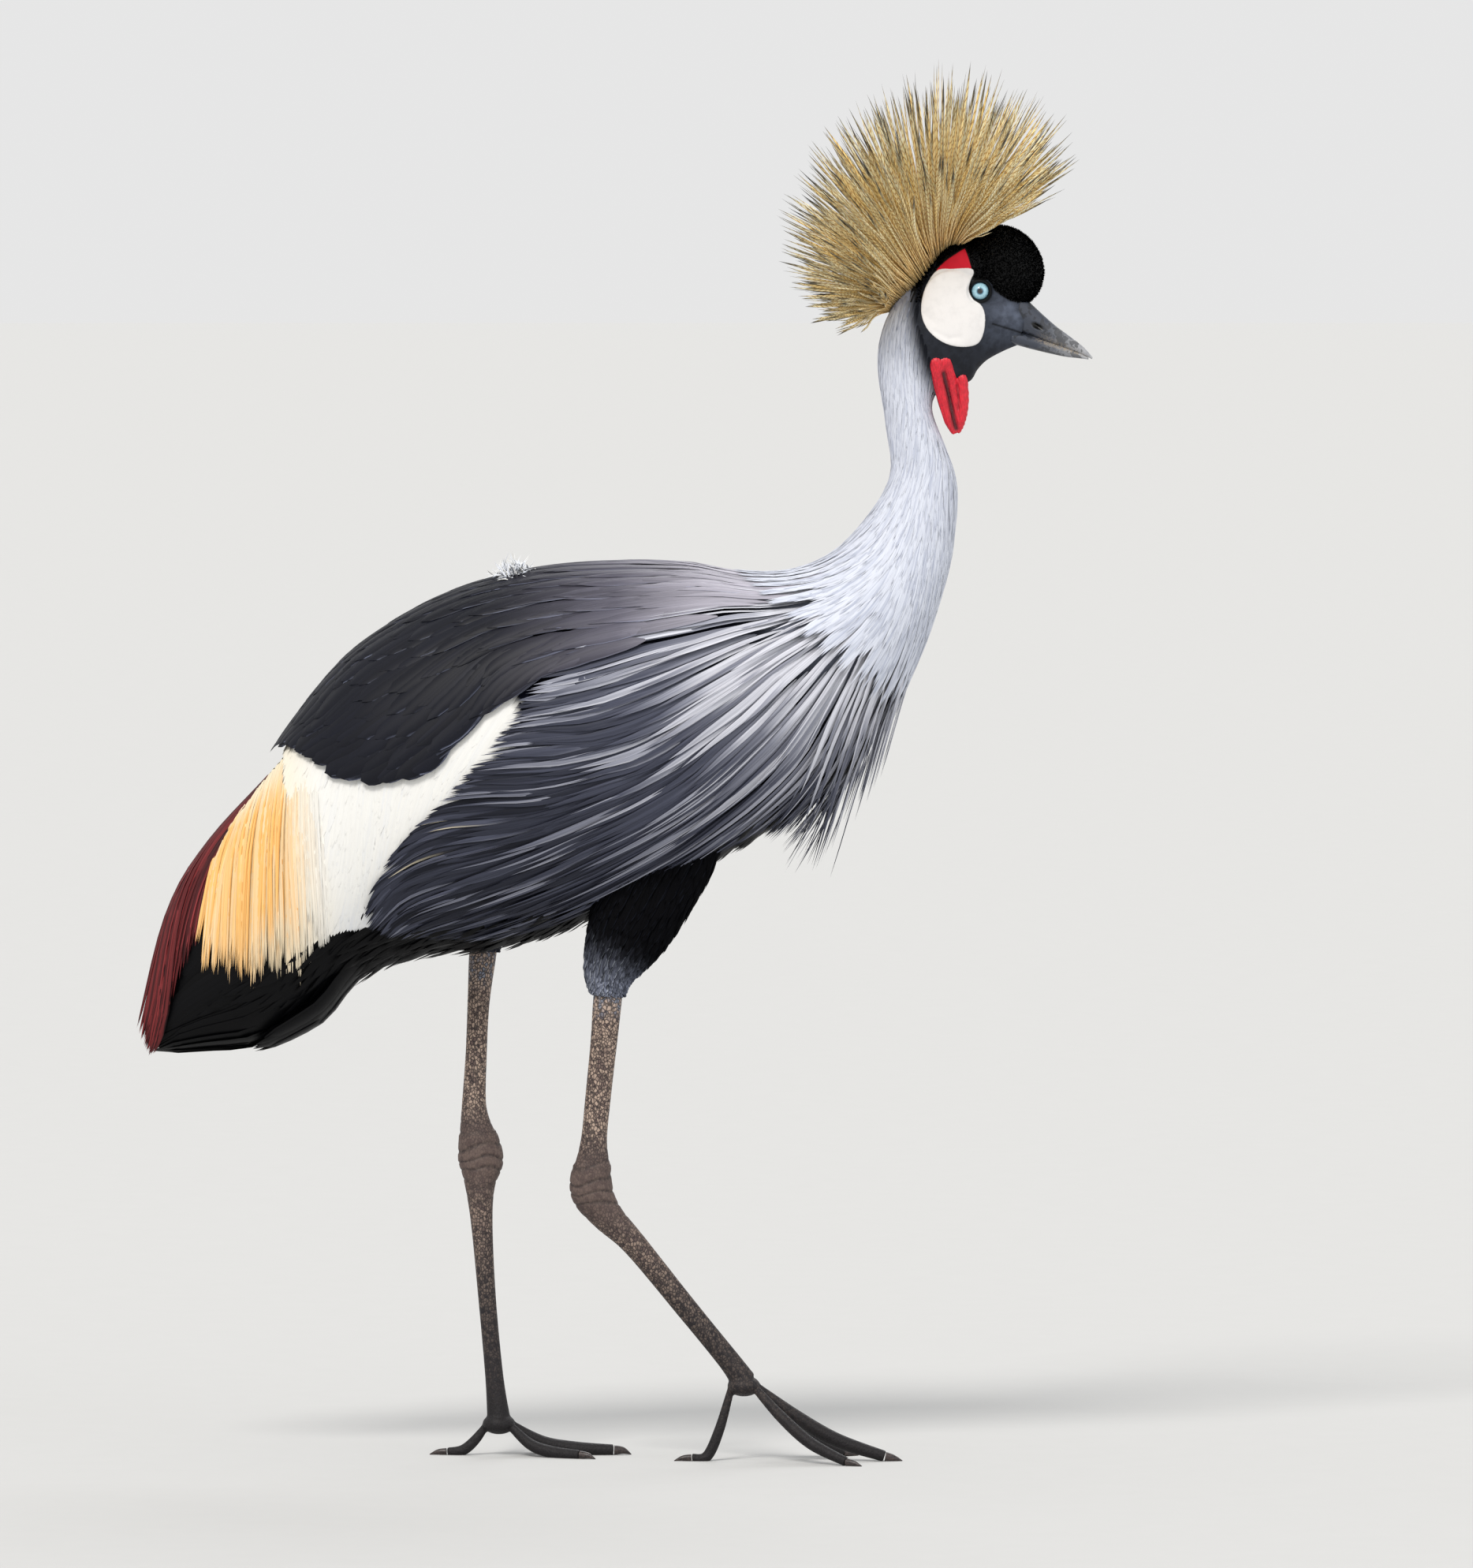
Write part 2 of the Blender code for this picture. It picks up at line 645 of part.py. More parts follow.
def hanging_plumes(draw):
    """Free plumes from the ventral breast to named tips."""
    made = []
    for tip_x, tip_z, tip_y in HANGING_TIPS:
        angle = 180 + tip_y * 0.9
        s = HANGING_ROOT_S + draw.uniform(-0.2, 0.3)
        root = raised(s, angle, np.array(-COAT_DEPTH))
        along = skin_frame(s, angle)[2]
        tip = np.array((tip_x, tip_y, tip_z)) * MM
        start_pull = root + unit(along) * 55 * MM
        t = np.array((0, 0.22, 0.5, 0.78, 1.0))[:, None]
        path = (1 - t) ** 2 * root + 2 * t * (1 - t) * start_pull + t**2 * tip
        lengthwise = unit(np.gradient(path, axis=0))
        across = unit(np.cross(lengthwise, (0.0, 1.0, 0.0)))
        level = np.array((0.0, 1.0, 0.0))
        half = np.array((3.5, 5.5, 5.0, 3.2, 0.0))[:, None] * MM
        thick = np.array((2.0, 2.4, 2.0, 1.4, 0.0))[:, None] * MM
        rings = np.stack([path - across * half, path + level * thick, path + across * half, path - level * thick], 1)
        points = np.concatenate([rings[:4].reshape(-1, 3), [tip], [rings[0].mean(0)]])
        faces = []
        for i in range(3):
            for j in range(4):
                p, q = i * 4 + j, i * 4 + (j + 1) % 4
                faces += [(p, q, q + 4), (p, q + 4, p + 4)]
        for j in range(4):
            k = (j + 1) % 4
            faces += [(12 + j, 12 + k, 16), (17, k, j)]
        made.append((points, faces))
    return made


# The mantle: dark long feathers that cover the back and droop over the top of each wing.
MANTLE_EDGE = (
    (13.4, 38), (14.5, 46), (15.5, 58), (16.4, 69), (17.0, 76), (17.6, 82), (18.0, 80), (18.9, 60), (19.25, 37),
    (19.6, 18),
)
# Rows of feathers: root s, length in s, how many on each side.
MANTLE_ROWS = ((13.7, 1.9, 3), (14.7, 2.0, 3), (15.6, 2.0, 3), (16.45, 1.6, 4), (17.3, 1.6, 4))
MANTLE_ANGLE = 2 * CORE_STEP


def make_mantle(looks):
    s_values = [s for s in CORE_ROWS if 13 < s < 18.5] + [18.8]
    angles = np.arange(-2, 3) * CORE_STEP
    low = -COAT_DEPTH + GAP
    mantle = skin_slab("mantle", s_values, angles, low, MANTLE_TOP, looks["mantle"])
    edge_s, edge_angle = zip(*MANTLE_EDGE)
    draw = random.Random(5)
    feathers = []
    for root_s, length, count in MANTLE_ROWS:
        for k in range(count):
            share = (k + 0.5) / count
            angle = 5 + (MANTLE_ANGLE - 9) * share
            end_s = min(root_s + length * draw.uniform(0.9, 1.1), 19.5)
            end_angle = np.interp(end_s, edge_s, edge_angle) * (0.14 + 0.88 * share)
            middle = -4.2 if share > 0.45 and root_s > 15 else -7.0
            heights = (-9 * MM, middle * MM, (-2.2 if k % 2 else -3.9) * MM)
            for side in (-1, 1):
                start = (root_s, side * angle)
                end = (end_s, side * end_angle)
                feathers.append(feather(start, end, heights, 20 * MM, 2.0 * MM, bow=side * 4))
    fuse(mantle, feathers)


# The folded wing: white coverts, straw plumes, chestnut secondaries and black primaries.
VANE_THICK = 1.1 * MM
COVERT_ROWS = (17.0, 17.65, 18.3, 18.95, 19.5)
COVERT_ANGLES = (49, 67.5, 90)
# Tiers of coverts: angle of the roots and tips, how many, height over the skin in mm, turn about.
COVERT_TIERS = ((84, 126, 5, (-9.8, -8.7)), (62, 102, 4, (-7.6, -6.5)))
STRAW_ROWS = (19.55, 19.95, 20.35, 20.75)
STRAW_ANGLES = (22, 40)
CHESTNUT_ROWS = (18.95, 19.4, 19.85, 20.3)
CHESTNUT_ANGLES = (4, 16, 28, 40)
PRIMARY_ROWS = (19.0, 19.4, 19.75)
PRIMARY_ANGLES = (86, 102, 118)


def vane(start, end, heights, width, bow=0):
    return feather(start, end, heights, width, VANE_THICK, bow, VANE_SECTION, VANE_OUTLINE)


def make_coverts(side, tag, looks):
    """The white panel: a plate on the torso with two tiers of coverts that point down."""
    angles = side * np.array(COVERT_ANGLES)
    low = -COAT_DEPTH + GAP
    name = f"wing_{tag}_coverts"
    coverts = skin_slab(name, COVERT_ROWS, angles, low, COVERT_SLAB_TOP, looks["white"])
    feathers = []
    for top, bottom, count, levels in COVERT_TIERS:
        for k in range(count):
            s = 17.3 + 2.1 * (k + 0.5) / count
            tip = (s + 0.25, side * (bottom - 3 * (k % 2)))
            level = levels[k % 2] * MM
            root = min(level, -9.5 * MM)
            feathers.append(vane((s, side * top), tip, (root, level, level), 26 * MM))
    fuse(coverts, feathers)


def make_straw_plumes(side, tag, looks):
    """Loose straw-coloured plumes that hang from the rear of the back over the wing."""
    angles = side * np.array(STRAW_ANGLES)
    name = f"wing_{tag}_straw_plumes"
    straw = skin_slab(name, STRAW_ROWS, angles, -6.6 * MM, -4.6 * MM, looks["straw"])
    draw = random.Random(11)
    feathers = []
    count = 8
    for k in range(count):
        share = k / (count - 1)
        root = (19.62 + 1.02 * share, side * (37 - 10 * share))
        tip = (20.0 + 1.65 * share, side * (122 - 46 * share**2 + draw.uniform(-5, 5)))
        level = (-2.2 if k % 2 else -4.3) * MM
        feathers.append(feather(root, tip, (-5.8 * MM, level, level), 12 * MM, 2.0 * MM, bow=-side * 2))
    fuse(straw, feathers)


def make_secondaries(side, tag, looks):
    """Chestnut feathers that droop over the tail, the inner ones longest."""
    angles = side * np.array(CHESTNUT_ANGLES)
    name = f"wing_{tag}_secondaries"
    chestnut = skin_slab(name, CHESTNUT_ROWS, angles, -COAT_DEPTH + GAP, -9 * MM, looks["chestnut"])
    feathers = []
    count = 5
    for k in range(count):
        share = k / (count - 1)
        root = (19.85 + 0.2 * (k % 2), side * (14 + 20 * share))
        tip = (23.0 - 0.9 * share**1.3, side * (36 + 42 * share))
        lift = 1.2 * (k % 2)
        heights = (-10.5 * MM, (-9.4 + lift) * MM, (-3.5 - 4.6 * share + lift) * MM)
        if k == 0:
            heights = (-10.5 * MM, -6.6 * MM, -3.0 * MM)
        feathers.append(vane(root, tip, heights, 17 * MM, -side * 9 * share))
    fuse(chestnut, feathers)


def make_primaries(side, tag, looks):
    """Black flight feathers under the white panel, on a block that hangs from it."""
    angles = side * np.array(PRIMARY_ANGLES)
    name = f"wing_{tag}_primaries"
    black = skin_slab(name, PRIMARY_ROWS, angles, -18.4 * MM, -13.4 * MM, looks["black"])
    feathers = []
    count = 5
    for k in range(count):
        share = k / (count - 1)
        root = (19.4, side * (90 + 24 * share))
        tip = (22.5 - 0.3 * share, side * (84 + 22 * share))
        high = 1.8 * (k % 2)
        heights = (-16.5 * MM, (-14.6 + high) * MM, (-9.3 + high) * MM)
        feathers.append(vane(root, tip, heights, 16 * MM))
    fuse(black, feathers)


def make_wing(side, looks):
    tag = "right" if side > 0 else "left"
    make_coverts(side, tag, looks)
    make_straw_plumes(side, tag, looks)
    make_secondaries(side, tag, looks)
    make_primaries(side, tag, looks)


TAIL_DEPTH = 19 * MM
TAIL_ROWS = (19.12, 19.6, 20.2)
# Tail feathers of one side: angle of root and tip, height in mm at the middle and the tip.
TAIL_FEATHERS = ((172, 173, -8, -3), (158, 160, -11, -5.5), (144, 147, -17, -11.5))
UNDERTAIL_HEIGHTS = (-21 * MM, -7.5 * MM, -4 * MM)


def make_tail(looks):
    """A short base behind the torso, and a fan of broad black feathers under the wings."""

    def depth(s):
        return TAIL_DEPTH + 0 * s

    tail = skin_tube("tail", TAIL_ROWS, looks["black"], depth, CORE_AROUND)
    feathers = []
    for side in (-1, 1):
        for k, (root, tip, middle, end) in enumerate(TAIL_FEATHERS):
            heights = (-21 * MM, middle * MM, end * MM)
            feathers.append(vane((19.3, side * root), (22.6 - 0.1 * k, side * tip), heights, 32 * MM))
        feathers.append(vane((19.3, side * 168), (21.3, side * 165), UNDERTAIL_HEIGHTS, 30 * MM))
    fuse(tail, feathers)


# The legs, in mm. The right leg steps forward, and the left one carries the bird.
LEGS = {
    "right": {
        "thigh": ((44, -39, 490), (34, -40, 458), (9, -42, 408), (-6, -42, 375), (-8, -42, 354.4)),
        "thigh_radii": ((40, 16), (38, 17), (33, 18), (21.5, 16), (13.5, 12)),
        "shank": ((-8.2, -42, 352.2), (-11.2, -41, 320), (-15.4, -39.5, 280), (-18.8, -38, 245), (-20, -37, 225)),
        "shank_radii": ((11, 10), (10.2, 8.5), (9.8, 8), (10, 9), (14, 11)),
        "tarsus": (
            (-20.2, -37, 223.4), (-20.5, -36, 206), (-9, -35, 187), (12, -34, 165),
            (50, -32, 118), (84, -31, 76), (95, -30, 60),
        ),
        "tarsus_radii": (
            (14.5, 11.5), (16.5, 12.5), (12.5, 10.5), (9.5, 8.5), (8.5, 7), (8.5, 7.5), (10, 9),
        ),
    },
    "left": {
        "thigh": ((-62, 40, 470), (-76, 40, 446), (-92, 40, 418), (-102.6, 40.6, 398), (-104, 40, 384)),
        "thigh_radii": ((34, 17), (32, 18), (24, 17), (17, 14), (12.5, 11.5)),
        "shank": ((-104.4, 40, 382.7), (-107.6, 38, 345), (-109.4, 35, 305), (-111, 31.5, 266), (-108.6, 30.5, 245)),
        "shank_radii": ((10.5, 10), (8.5, 8), (8.2, 8), (9.5, 9), (14, 11)),
        "tarsus": (
            (-108.4, 30.3, 243.6), (-105.8, 30, 225), (-106.4, 28, 205), (-105, 26, 176),
            (-101, 23, 120), (-95.5, 20.5, 60), (-92, 19, 27),
        ),
        "tarsus_radii": (
            (14.5, 11.5), (17.5, 12.5), (11.5, 10.5), (8.3, 8), (6.8, 7), (7, 7), (9, 9),
        ),
    },
}
# Toes: direction in degrees from straight ahead (towards the outer side), length and root radius in mm.
TOES = {
    "middle": (2, 78, 6.2),
    "inner": (-27, 60, 5.2),
    "outer": (30, 64, 5.2),
    "hind": (176, 30, 4.6),
}
TOE_TAPER = ((0.6, 0.4), (0.85, 0.9), (0.9, 0.95), (0.7, 0.75))
PALM_RADII = (12.5, 12.5, 8.0)
TOE_SHARES = (0.0, 0.3, 0.62, 1.0)
# How far each ring has come down: flat toes, toes of the foot that steps forward, and hind toes.
FLAT_FALL, STEP_FALL, HIND_FALL = (0, 0.72, 1, 1), (0, 0.42, 0.78, 1), (0, 0.6, 1, 1)
SOLE_SUNK = 0.7
CLAW_LENGTH = 13
CLAW_TAPER = (0.6, 0.44, 0.0)


def toe_path(foot, aim, length, fall, radii):
    """The toe's middle line in mm: from the foot down to the floor, and along it to the claw."""
    points = []
    for share, down, (radius, _) in zip(TOE_SHARES, fall, radii):
        rest = radius - SOLE_SUNK
        height = foot[2] + (rest - foot[2]) * down
        points.append((foot[0] + aim[0] * length * share, foot[1] + aim[1] * length * share, height))
    return points


def make_leg(tag, looks):
    leg = LEGS[tag]
    side = -1 if tag == "right" else 1
    new_object(f"shank_{tag}", *limb(leg["shank"], leg["shank_radii"]), looks["leg"])
    tarsus = new_object(f"tarsus_{tag}", *limb(leg["tarsus"], leg["tarsus_radii"]), looks["leg"])
    thigh = new_object(f"thigh_{tag}", *limb(leg["thigh"], leg["thigh_radii"], 10), looks["thigh"])

    def clear_of_torso(s):
        return coat_depth(s) - GAP

    cutter = skin_tube("torso_clearance", CORE_ROWS, None, clear_of_torso, CORE_AROUND)
    fuse(thigh, [], [cutter])

    ankle = np.array(leg["tarsus"][-1], float)
    palm_at = (ankle + (0, 0, -3)) * MM
    fuse(tarsus, [ellipsoid(palm_at, [r * MM for r in PALM_RADII], rings=5, around=10)])
    for name, (turn, length, radius) in TOES.items():
        direction = math.radians(side * turn)
        aim = np.array((math.cos(direction), math.sin(direction), 0))
        foot = ankle + aim * 9.5 + np.array((0, 0, -4.0))
        stretch = 1.25 if tag == "right" and name != "hind" else 1.0
        fall = HIND_FALL if name == "hind" else STEP_FALL if tag == "right" else FLAT_FALL
        radii = [(radius * high, radius * wide) for high, wide in TOE_TAPER]
        path = toe_path(foot, aim, length * stretch, fall, radii)
        toe = new_object(f"toe_{tag}_{name}", *limb(path, radii, 8, 1), looks["leg"])
        grown = [r * MM + GAP for r in PALM_RADII]
        fuse(toe, [], [ellipsoid(palm_at, grown, rings=5, around=10)])
        flat_sole(toe)
        tip = np.array(path[-1])
        onward = unit(tip - np.array(path[-2]))
        start = tip + onward * 1.3
        middle = start + onward * CLAW_LENGTH * 0.5
        middle[2] = max(middle[2], 2.0)
        end = start + aim * CLAW_LENGTH + np.array((0, 0, 0.3 - start[2]))
        claw_radii = [(max(radius * share, 0.5),) * 2 for share in CLAW_TAPER]
        claw = limb((start, middle, end), claw_radii, 6, 1)
        claw_made = new_object(f"claw_{tag}_{name}", *claw, looks["claw"])
        flat_sole(claw_made)


def tree_of(made):
    faces = [tuple(p.vertices) for p in made.data.polygons]
    return BVHTree.FromPolygons([v.co for v in made.data.vertices], faces)


def main():
    for old in list(bpy.data.objects):
        bpy.data.objects.remove(old)
    looks = {
        "face": material("face", (0.02, 0.02, 0.025), 0.8),
        "eye": material("eye", (0.35, 0.62, 0.75), 0.1),
        "bill": material("bill", (0.05, 0.05, 0.06), 0.4),
        "crest": material("crest", (0.62, 0.47, 0.24), 0.7),
        "wattle": material("wattle", (0.7, 0.03, 0.05), 0.5),
        "neck": material("neck", (0.52, 0.55, 0.6), 0.8),
        "flank": material("flank", (0.25, 0.26, 0.3), 0.75),
        "mantle": material("mantle", (0.05, 0.05, 0.065), 0.7),
        "white": material("white", (0.85, 0.84, 0.8), 0.8),
        "straw": material("straw", (0.8, 0.55, 0.2), 0.8),
        "chestnut": material("chestnut", (0.16, 0.03, 0.025), 0.6),
        "black": material("black", (0.01, 0.01, 0.012), 0.7),
        "thigh": material("thigh", (0.03, 0.03, 0.035), 0.85),
        "leg": material("leg", (0.09, 0.07, 0.065), 0.7),
        "claw": material("claw", (0.02, 0.02, 0.02), 0.4),
    }
    head = make_head(looks)
    make_bill(looks)
    make_neck(looks)
    neck = bpy.data.objects["neck_upper"]
    make_crest(looks, [tree_of(head), tree_of(neck)])
    make_wattle(looks)
    make_torso(looks)
    make_mantle(looks)
    for side in (-1, 1):
        make_wing(side, looks)
    make_tail(looks)
    for tag in LEGS:
        make_leg(tag, looks)


main()
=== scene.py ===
"""The looks of the life-size grey crowned crane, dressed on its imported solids.

Metres, +Z up, the bird faces +X and turns its right side to -Y and the camera. A place on the skin
is (s, angle): s counts cross sections from the base of the bill to the wing tips, and the angle runs
from 0 on the back over 90 at the flank to 180 on the belly, positive on the right side.
"""

import math

import bpy
import numpy as np
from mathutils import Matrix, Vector, noise


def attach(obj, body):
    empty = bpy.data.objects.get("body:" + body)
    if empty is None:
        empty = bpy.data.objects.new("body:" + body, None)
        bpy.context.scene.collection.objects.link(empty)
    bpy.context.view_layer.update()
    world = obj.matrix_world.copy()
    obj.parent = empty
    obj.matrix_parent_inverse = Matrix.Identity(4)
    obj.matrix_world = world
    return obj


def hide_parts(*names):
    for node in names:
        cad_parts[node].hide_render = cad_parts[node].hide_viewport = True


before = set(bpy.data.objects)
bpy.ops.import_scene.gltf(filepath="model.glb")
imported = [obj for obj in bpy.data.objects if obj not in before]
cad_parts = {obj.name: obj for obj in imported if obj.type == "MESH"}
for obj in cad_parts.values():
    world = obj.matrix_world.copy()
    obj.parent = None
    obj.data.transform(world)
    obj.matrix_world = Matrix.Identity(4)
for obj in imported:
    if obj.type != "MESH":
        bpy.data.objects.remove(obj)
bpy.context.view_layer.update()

MM = 0.001
BODY = "root"

# The photo's frame, at 0.6 mm a pixel.
PIXEL = 0.6 * MM
PHOTO_SIZE = (1868, 1988)
PHOTO_ORIGIN = np.array((785.0, 1850.0))
VIEW_CENTRE = (89.4 * MM, 0.0, 513.6 * MM)
CAMERA_DISTANCE = 12.0
CAMERA_LIFT = 2.5


def srgb(*rgb):
    """A colour as a screen shows it, 0 to 255, in linear light."""
    share = np.array(rgb, float) / 255
    return np.where(share <= 0.04045, share / 12.92, ((share + 0.055) / 1.055) ** 2.4)


NECK_PALE = srgb(210, 214, 225)
NECK_SHADE = srgb(166, 172, 190)
PLUME_WHITE = srgb(208, 209, 218)
PLUME_GREY = srgb(150, 152, 165)
PLUME_SLATE = srgb(74, 77, 93)
PLUME_DARK = srgb(17, 19, 30)
BACK_FRONT = srgb(166, 163, 174)
BACK_MIDDLE = srgb(88, 86, 98)
BACK_REAR = srgb(11, 13, 24)
BACK_EDGE = srgb(132, 138, 162)
WHITE = srgb(228, 227, 223)
WHITE_SHADE = srgb(208, 213, 222)
STRAW_CREAM = srgb(232, 220, 192)
STRAW_GOLD = srgb(244, 190, 116)
STRAW_DEEP = srgb(222, 152, 78)
CHESTNUT = srgb(132, 48, 50)
CHESTNUT_DARK = srgb(36, 12, 16)
BLACK = srgb(5, 5, 7)
BLACK_EDGE = srgb(18, 20, 27)
VELVET = srgb(3, 3, 4)
FACE = srgb(54, 59, 70)
FACE_DARK = srgb(18, 20, 26)
# Painted sheen on the face near the bill's base.
FACE_SHEEN = srgb(106, 114, 132)
CHEEK = srgb(230, 227, 225)
RED = srgb(214, 26, 48)
# Painted shade in the wattle's grooves.
RED_GROOVE_SHADE = srgb(70, 4, 16)
CREST_TAN = srgb(255, 214, 142)
CREST_PALE = srgb(255, 246, 206)
CREST_GOLD = srgb(255, 218, 128)
CREST_BROWN = srgb(186, 138, 76)
CREST_TIP = srgb(20, 20, 24)
IRIS = srgb(172, 218, 234)
IRIS_DEEP = srgb(64, 112, 138)
PUPIL = np.array((0.003, 0.004, 0.006))
EYE_RIM = np.array((0.006, 0.007, 0.01))
# Painted shade in the nostril, and the dark mouth line.
HOLLOW = np.array((0.004, 0.004, 0.004))
BILL_BASE = srgb(56, 61, 73)
BILL_TIP = srgb(168, 169, 172)
DIRT = srgb(150, 138, 122)
LEG_TAN = srgb(176, 154, 138)
LEG_BROWN = srgb(92, 76, 72)
LEG_DARK = srgb(34, 30, 33)
DOWN_GREY = srgb(120, 125, 142)
DOWN_PALE = srgb(196, 202, 214)
FLOOR = srgb(196, 196, 195)

# Cross sections in mm: back x, back z, belly x, belly z, half width.
SECTIONS = MM * np.array((
    (312.6, 879.6, 303.6, 847.2, 8.5),
    (299.4, 892.8, 292.2, 842.4, 12.0),
    (283.8, 907.2, 280.2, 835.8, 16.0),
    (267.0, 918.0, 273.0, 828.6, 19.5),
    (249.0, 919.8, 267.0, 819.6, 21.0),
    (224.0, 901.0, 252.0, 814.0, 20.5),
    (204.0, 870.0, 240.6, 810.0, 19.0),
    (197.0, 834.0, 238.0, 796.0, 18.5),
    (203.4, 786.0, 247.4, 771.0, 19.5),
    (206.0, 746.0, 256.8, 740.0, 22.0),
    (180.0, 706.2, 253.8, 693.0, 33.0),
    (154.2, 685.2, 245.4, 657.0, 45.0),
    (123.0, 675.6, 229.8, 612.0, 60.0),
    (87.0, 676.8, 205.8, 562.8, 78.0),
    (48.0, 683.4, 165.0, 510.0, 93.0),
    (-15.0, 683.8, 79.0, 455.0, 105.0),
    (-78.0, 676.2, -9.0, 412.0, 108.0),
    (-141.0, 655.5, -84.0, 387.0, 102.0),
    (-201.0, 618.0, -153.0, 379.2, 90.0),
    (-240.0, 575.0, -198.0, 361.0, 74.0),
    (-274.0, 526.0, -236.0, 334.0, 57.0),
    (-313.8, 471.0, -276.0, 316.8, 40.0),
    (-344.0, 410.0, -317.0, 312.5, 27.0),
    (-363.4, 328.0, -361.4, 309.0, 7.0),
))
LAST = len(SECTIONS) - 1
HEAD_END = 6.4
NECK_END = 10.6


def catmull(rows, at):
    """A smooth curve through rows, read at each place, which counts the rows."""
    last = len(rows) - 1
    at = np.clip(np.asarray(at, float), 0, last)
    i = np.minimum(at.astype(int), last - 1)
    t = (at - i)[..., None]
    before, start = rows[np.maximum(i - 1, 0)], rows[i]
    end, after = rows[i + 1], rows[np.minimum(i + 2, last)]
    return 0.5 * (
        2 * start
        + (end - before) * t
        + (2 * before - 5 * start + 4 * end - after) * t**2
        + (3 * start - before - 3 * end + after) * t**3
    )


def between(row, share):
    """x and z between a section's two ends, which share is 1 and -1 at."""
    return [(row[..., i] + row[..., i + 2]) / 2 + (row[..., i] - row[..., i + 2]) / 2 * share for i in (0, 1)]


def skin(s, angle):
    """The skin's points."""
    row = catmull(SECTIONS, s)
    x, z = between(row, np.cos(np.radians(angle)))
    return np.stack([x, -row[..., 4] * np.sin(np.radians(angle)), z], axis=-1)


def turns(around, whole=2 * math.pi):
    """Even steps of a whole turn, as one row."""
    return np.arange(around)[None, :] * whole / around


def unit(v):
    return v / np.maximum(np.linalg.norm(v, axis=-1, keepdims=True), 1e-12)


def dot(a, b):
    return (a * b).sum(-1)


def skin_frame(s, angle):
    """Point, outward normal, and the change of the point with s and with the angle."""
    s, angle = np.broadcast_arrays(np.asarray(s, float), np.asarray(angle, float))
    step_s, step_a = 0.03, 1.5
    ahead, behind = np.minimum(s + step_s, LAST), np.maximum(s - step_s, 0)
    along = (skin(ahead, angle) - skin(behind, angle)) / (ahead - behind)[..., None]
    around = (skin(s, angle + step_a) - skin(s, angle - step_a)) / (2 * step_a)
    return skin(s, angle), unit(np.cross(along, around)), along, around


def raised(s, angle, height):
    point, normal, _, _ = skin_frame(s, angle)
    return point + normal * np.asarray(height)[..., None], normal


def mix(a, b, share):
    return a + (b - a) * np.asarray(share)[..., None]


def smooth(low, high, value):
    t = np.clip((np.asarray(value, float) - low) / (high - low), 0, 1)
    return t * t * (3 - 2 * t)


def curve(x, *points):
    """Straight lines through (x, y) points."""
    at, value = zip(*points)
    return np.interp(x, at, value)


# Meshes.


def build(name, shape, look, slot, nodes, colours=(), bake=None, is_smooth=True, normals=None):
    """One piece of the bird from a shape, its points, quads and triangles, with its colour attributes."""
    points, quads, tris = shape
    mesh = bpy.data.meshes.new(name)
    points = np.asarray(points, np.float32).reshape(-1, 3)
    quads = np.asarray(quads, np.int32).reshape(-1, 4)
    tris = np.asarray(tris, np.int32).reshape(-1, 3)
    corners = np.concatenate([quads.ravel(), tris.ravel()])
    starts = np.concatenate([np.arange(len(quads)) * 4, len(quads) * 4 + np.arange(len(tris)) * 3])
    mesh.vertices.add(len(points))
    mesh.vertices.foreach_set("co", points.ravel())
    mesh.loops.add(len(corners))
    mesh.loops.foreach_set("vertex_index", corners)
    mesh.polygons.add(len(starts))
    mesh.polygons.foreach_set("loop_start", starts.astype(np.int32))
    mesh.update(calc_edges=True)
    for attribute, values in colours:
        paint(mesh, attribute, values)
    if bake is not None:
        places = mesh.uv_layers.new(name="OFBake")
        places.data.foreach_set("uv", np.asarray(bake, np.float32)[corners].ravel())
    if is_smooth:
        mesh.shade_smooth()
    if normals is not None:
        mesh.normals_split_custom_set_from_vertices(normals)
    mesh.materials.append(LOOKS[look])
    made = placed(name, mesh)
    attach(made, BODY)
    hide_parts(*nodes)
    return made


def placed(name, data):
    """An object of the scene."""
    made = bpy.data.objects.new(name, data)
    bpy.context.scene.collection.objects.link(made)
    return made


def paint(mesh, attribute, values):
    values = np.asarray(values, np.float32)
    layer = mesh.attributes.new(attribute, "FLOAT_COLOR", "POINT")
    rgba = np.ones((len(values), 4), np.float32)
    rgba[:, :3] = values
    layer.data.foreach_set("color", rgba.ravel())


def grid_faces(rows, around):
    """Quads round a tube of rings."""
    i, j = np.meshgrid(np.arange(rows - 1), np.arange(around), indexing="ij")
    a, b = i * around + j, i * around + (j + 1) % around
    return np.stack([a, b, b + around, a + around], axis=-1).reshape(-1, 4)


def tube(rings):
    """A closed tube of rings (row, around, xyz), as points, quads and triangles."""
    rows, around = rings.shape[:2]
    points = np.concatenate([rings.reshape(-1, 3), [rings[0].mean(0)], [rings[-1].mean(0)]])
    j = np.arange(around)
    k = (j + 1) % around
    end = (rows - 1) * around
    first = np.stack([np.full(around, rows * around), k, j], axis=-1)
    last = np.stack([np.full(around, rows * around + 1), end + j, end + k], axis=-1)
    return outward(points, grid_faces(rows, around), np.concatenate([first, last]))


def outward(points, quads, tris):
    """The same shape with its faces turned out, judged by its volume."""
    a, b, c, d = (points[quads[:, i]] for i in range(4))
    volume = dot(a, np.cross(b, c)).sum() + dot(a, np.cross(c, d)).sum()
    a, b, c = (points[tris[:, i]] for i in range(3))
    volume += dot(a, np.cross(b, c)).sum()
    if volume < 0:
        quads, tris = quads[:, ::-1], tris[:, ::-1]
    return points, quads, tris


def ellipsoid(centre, radii, tilt=0.0, rings=24, around=36):
    up = np.linspace(0, math.pi, rings + 2)[1:-1, None]
    turn = turns(around)
    x = radii[0] * np.sin(up) * np.cos(turn)
    y = radii[1] * np.sin(up) * np.sin(turn)
    z = radii[2] * np.cos(up) + 0 * turn
    c, sn = math.cos(math.radians(tilt)), math.sin(math.radians(tilt))
    return tube(np.stack([x * c - z * sn, y, x * sn + z * c], axis=-1) + np.array(centre))


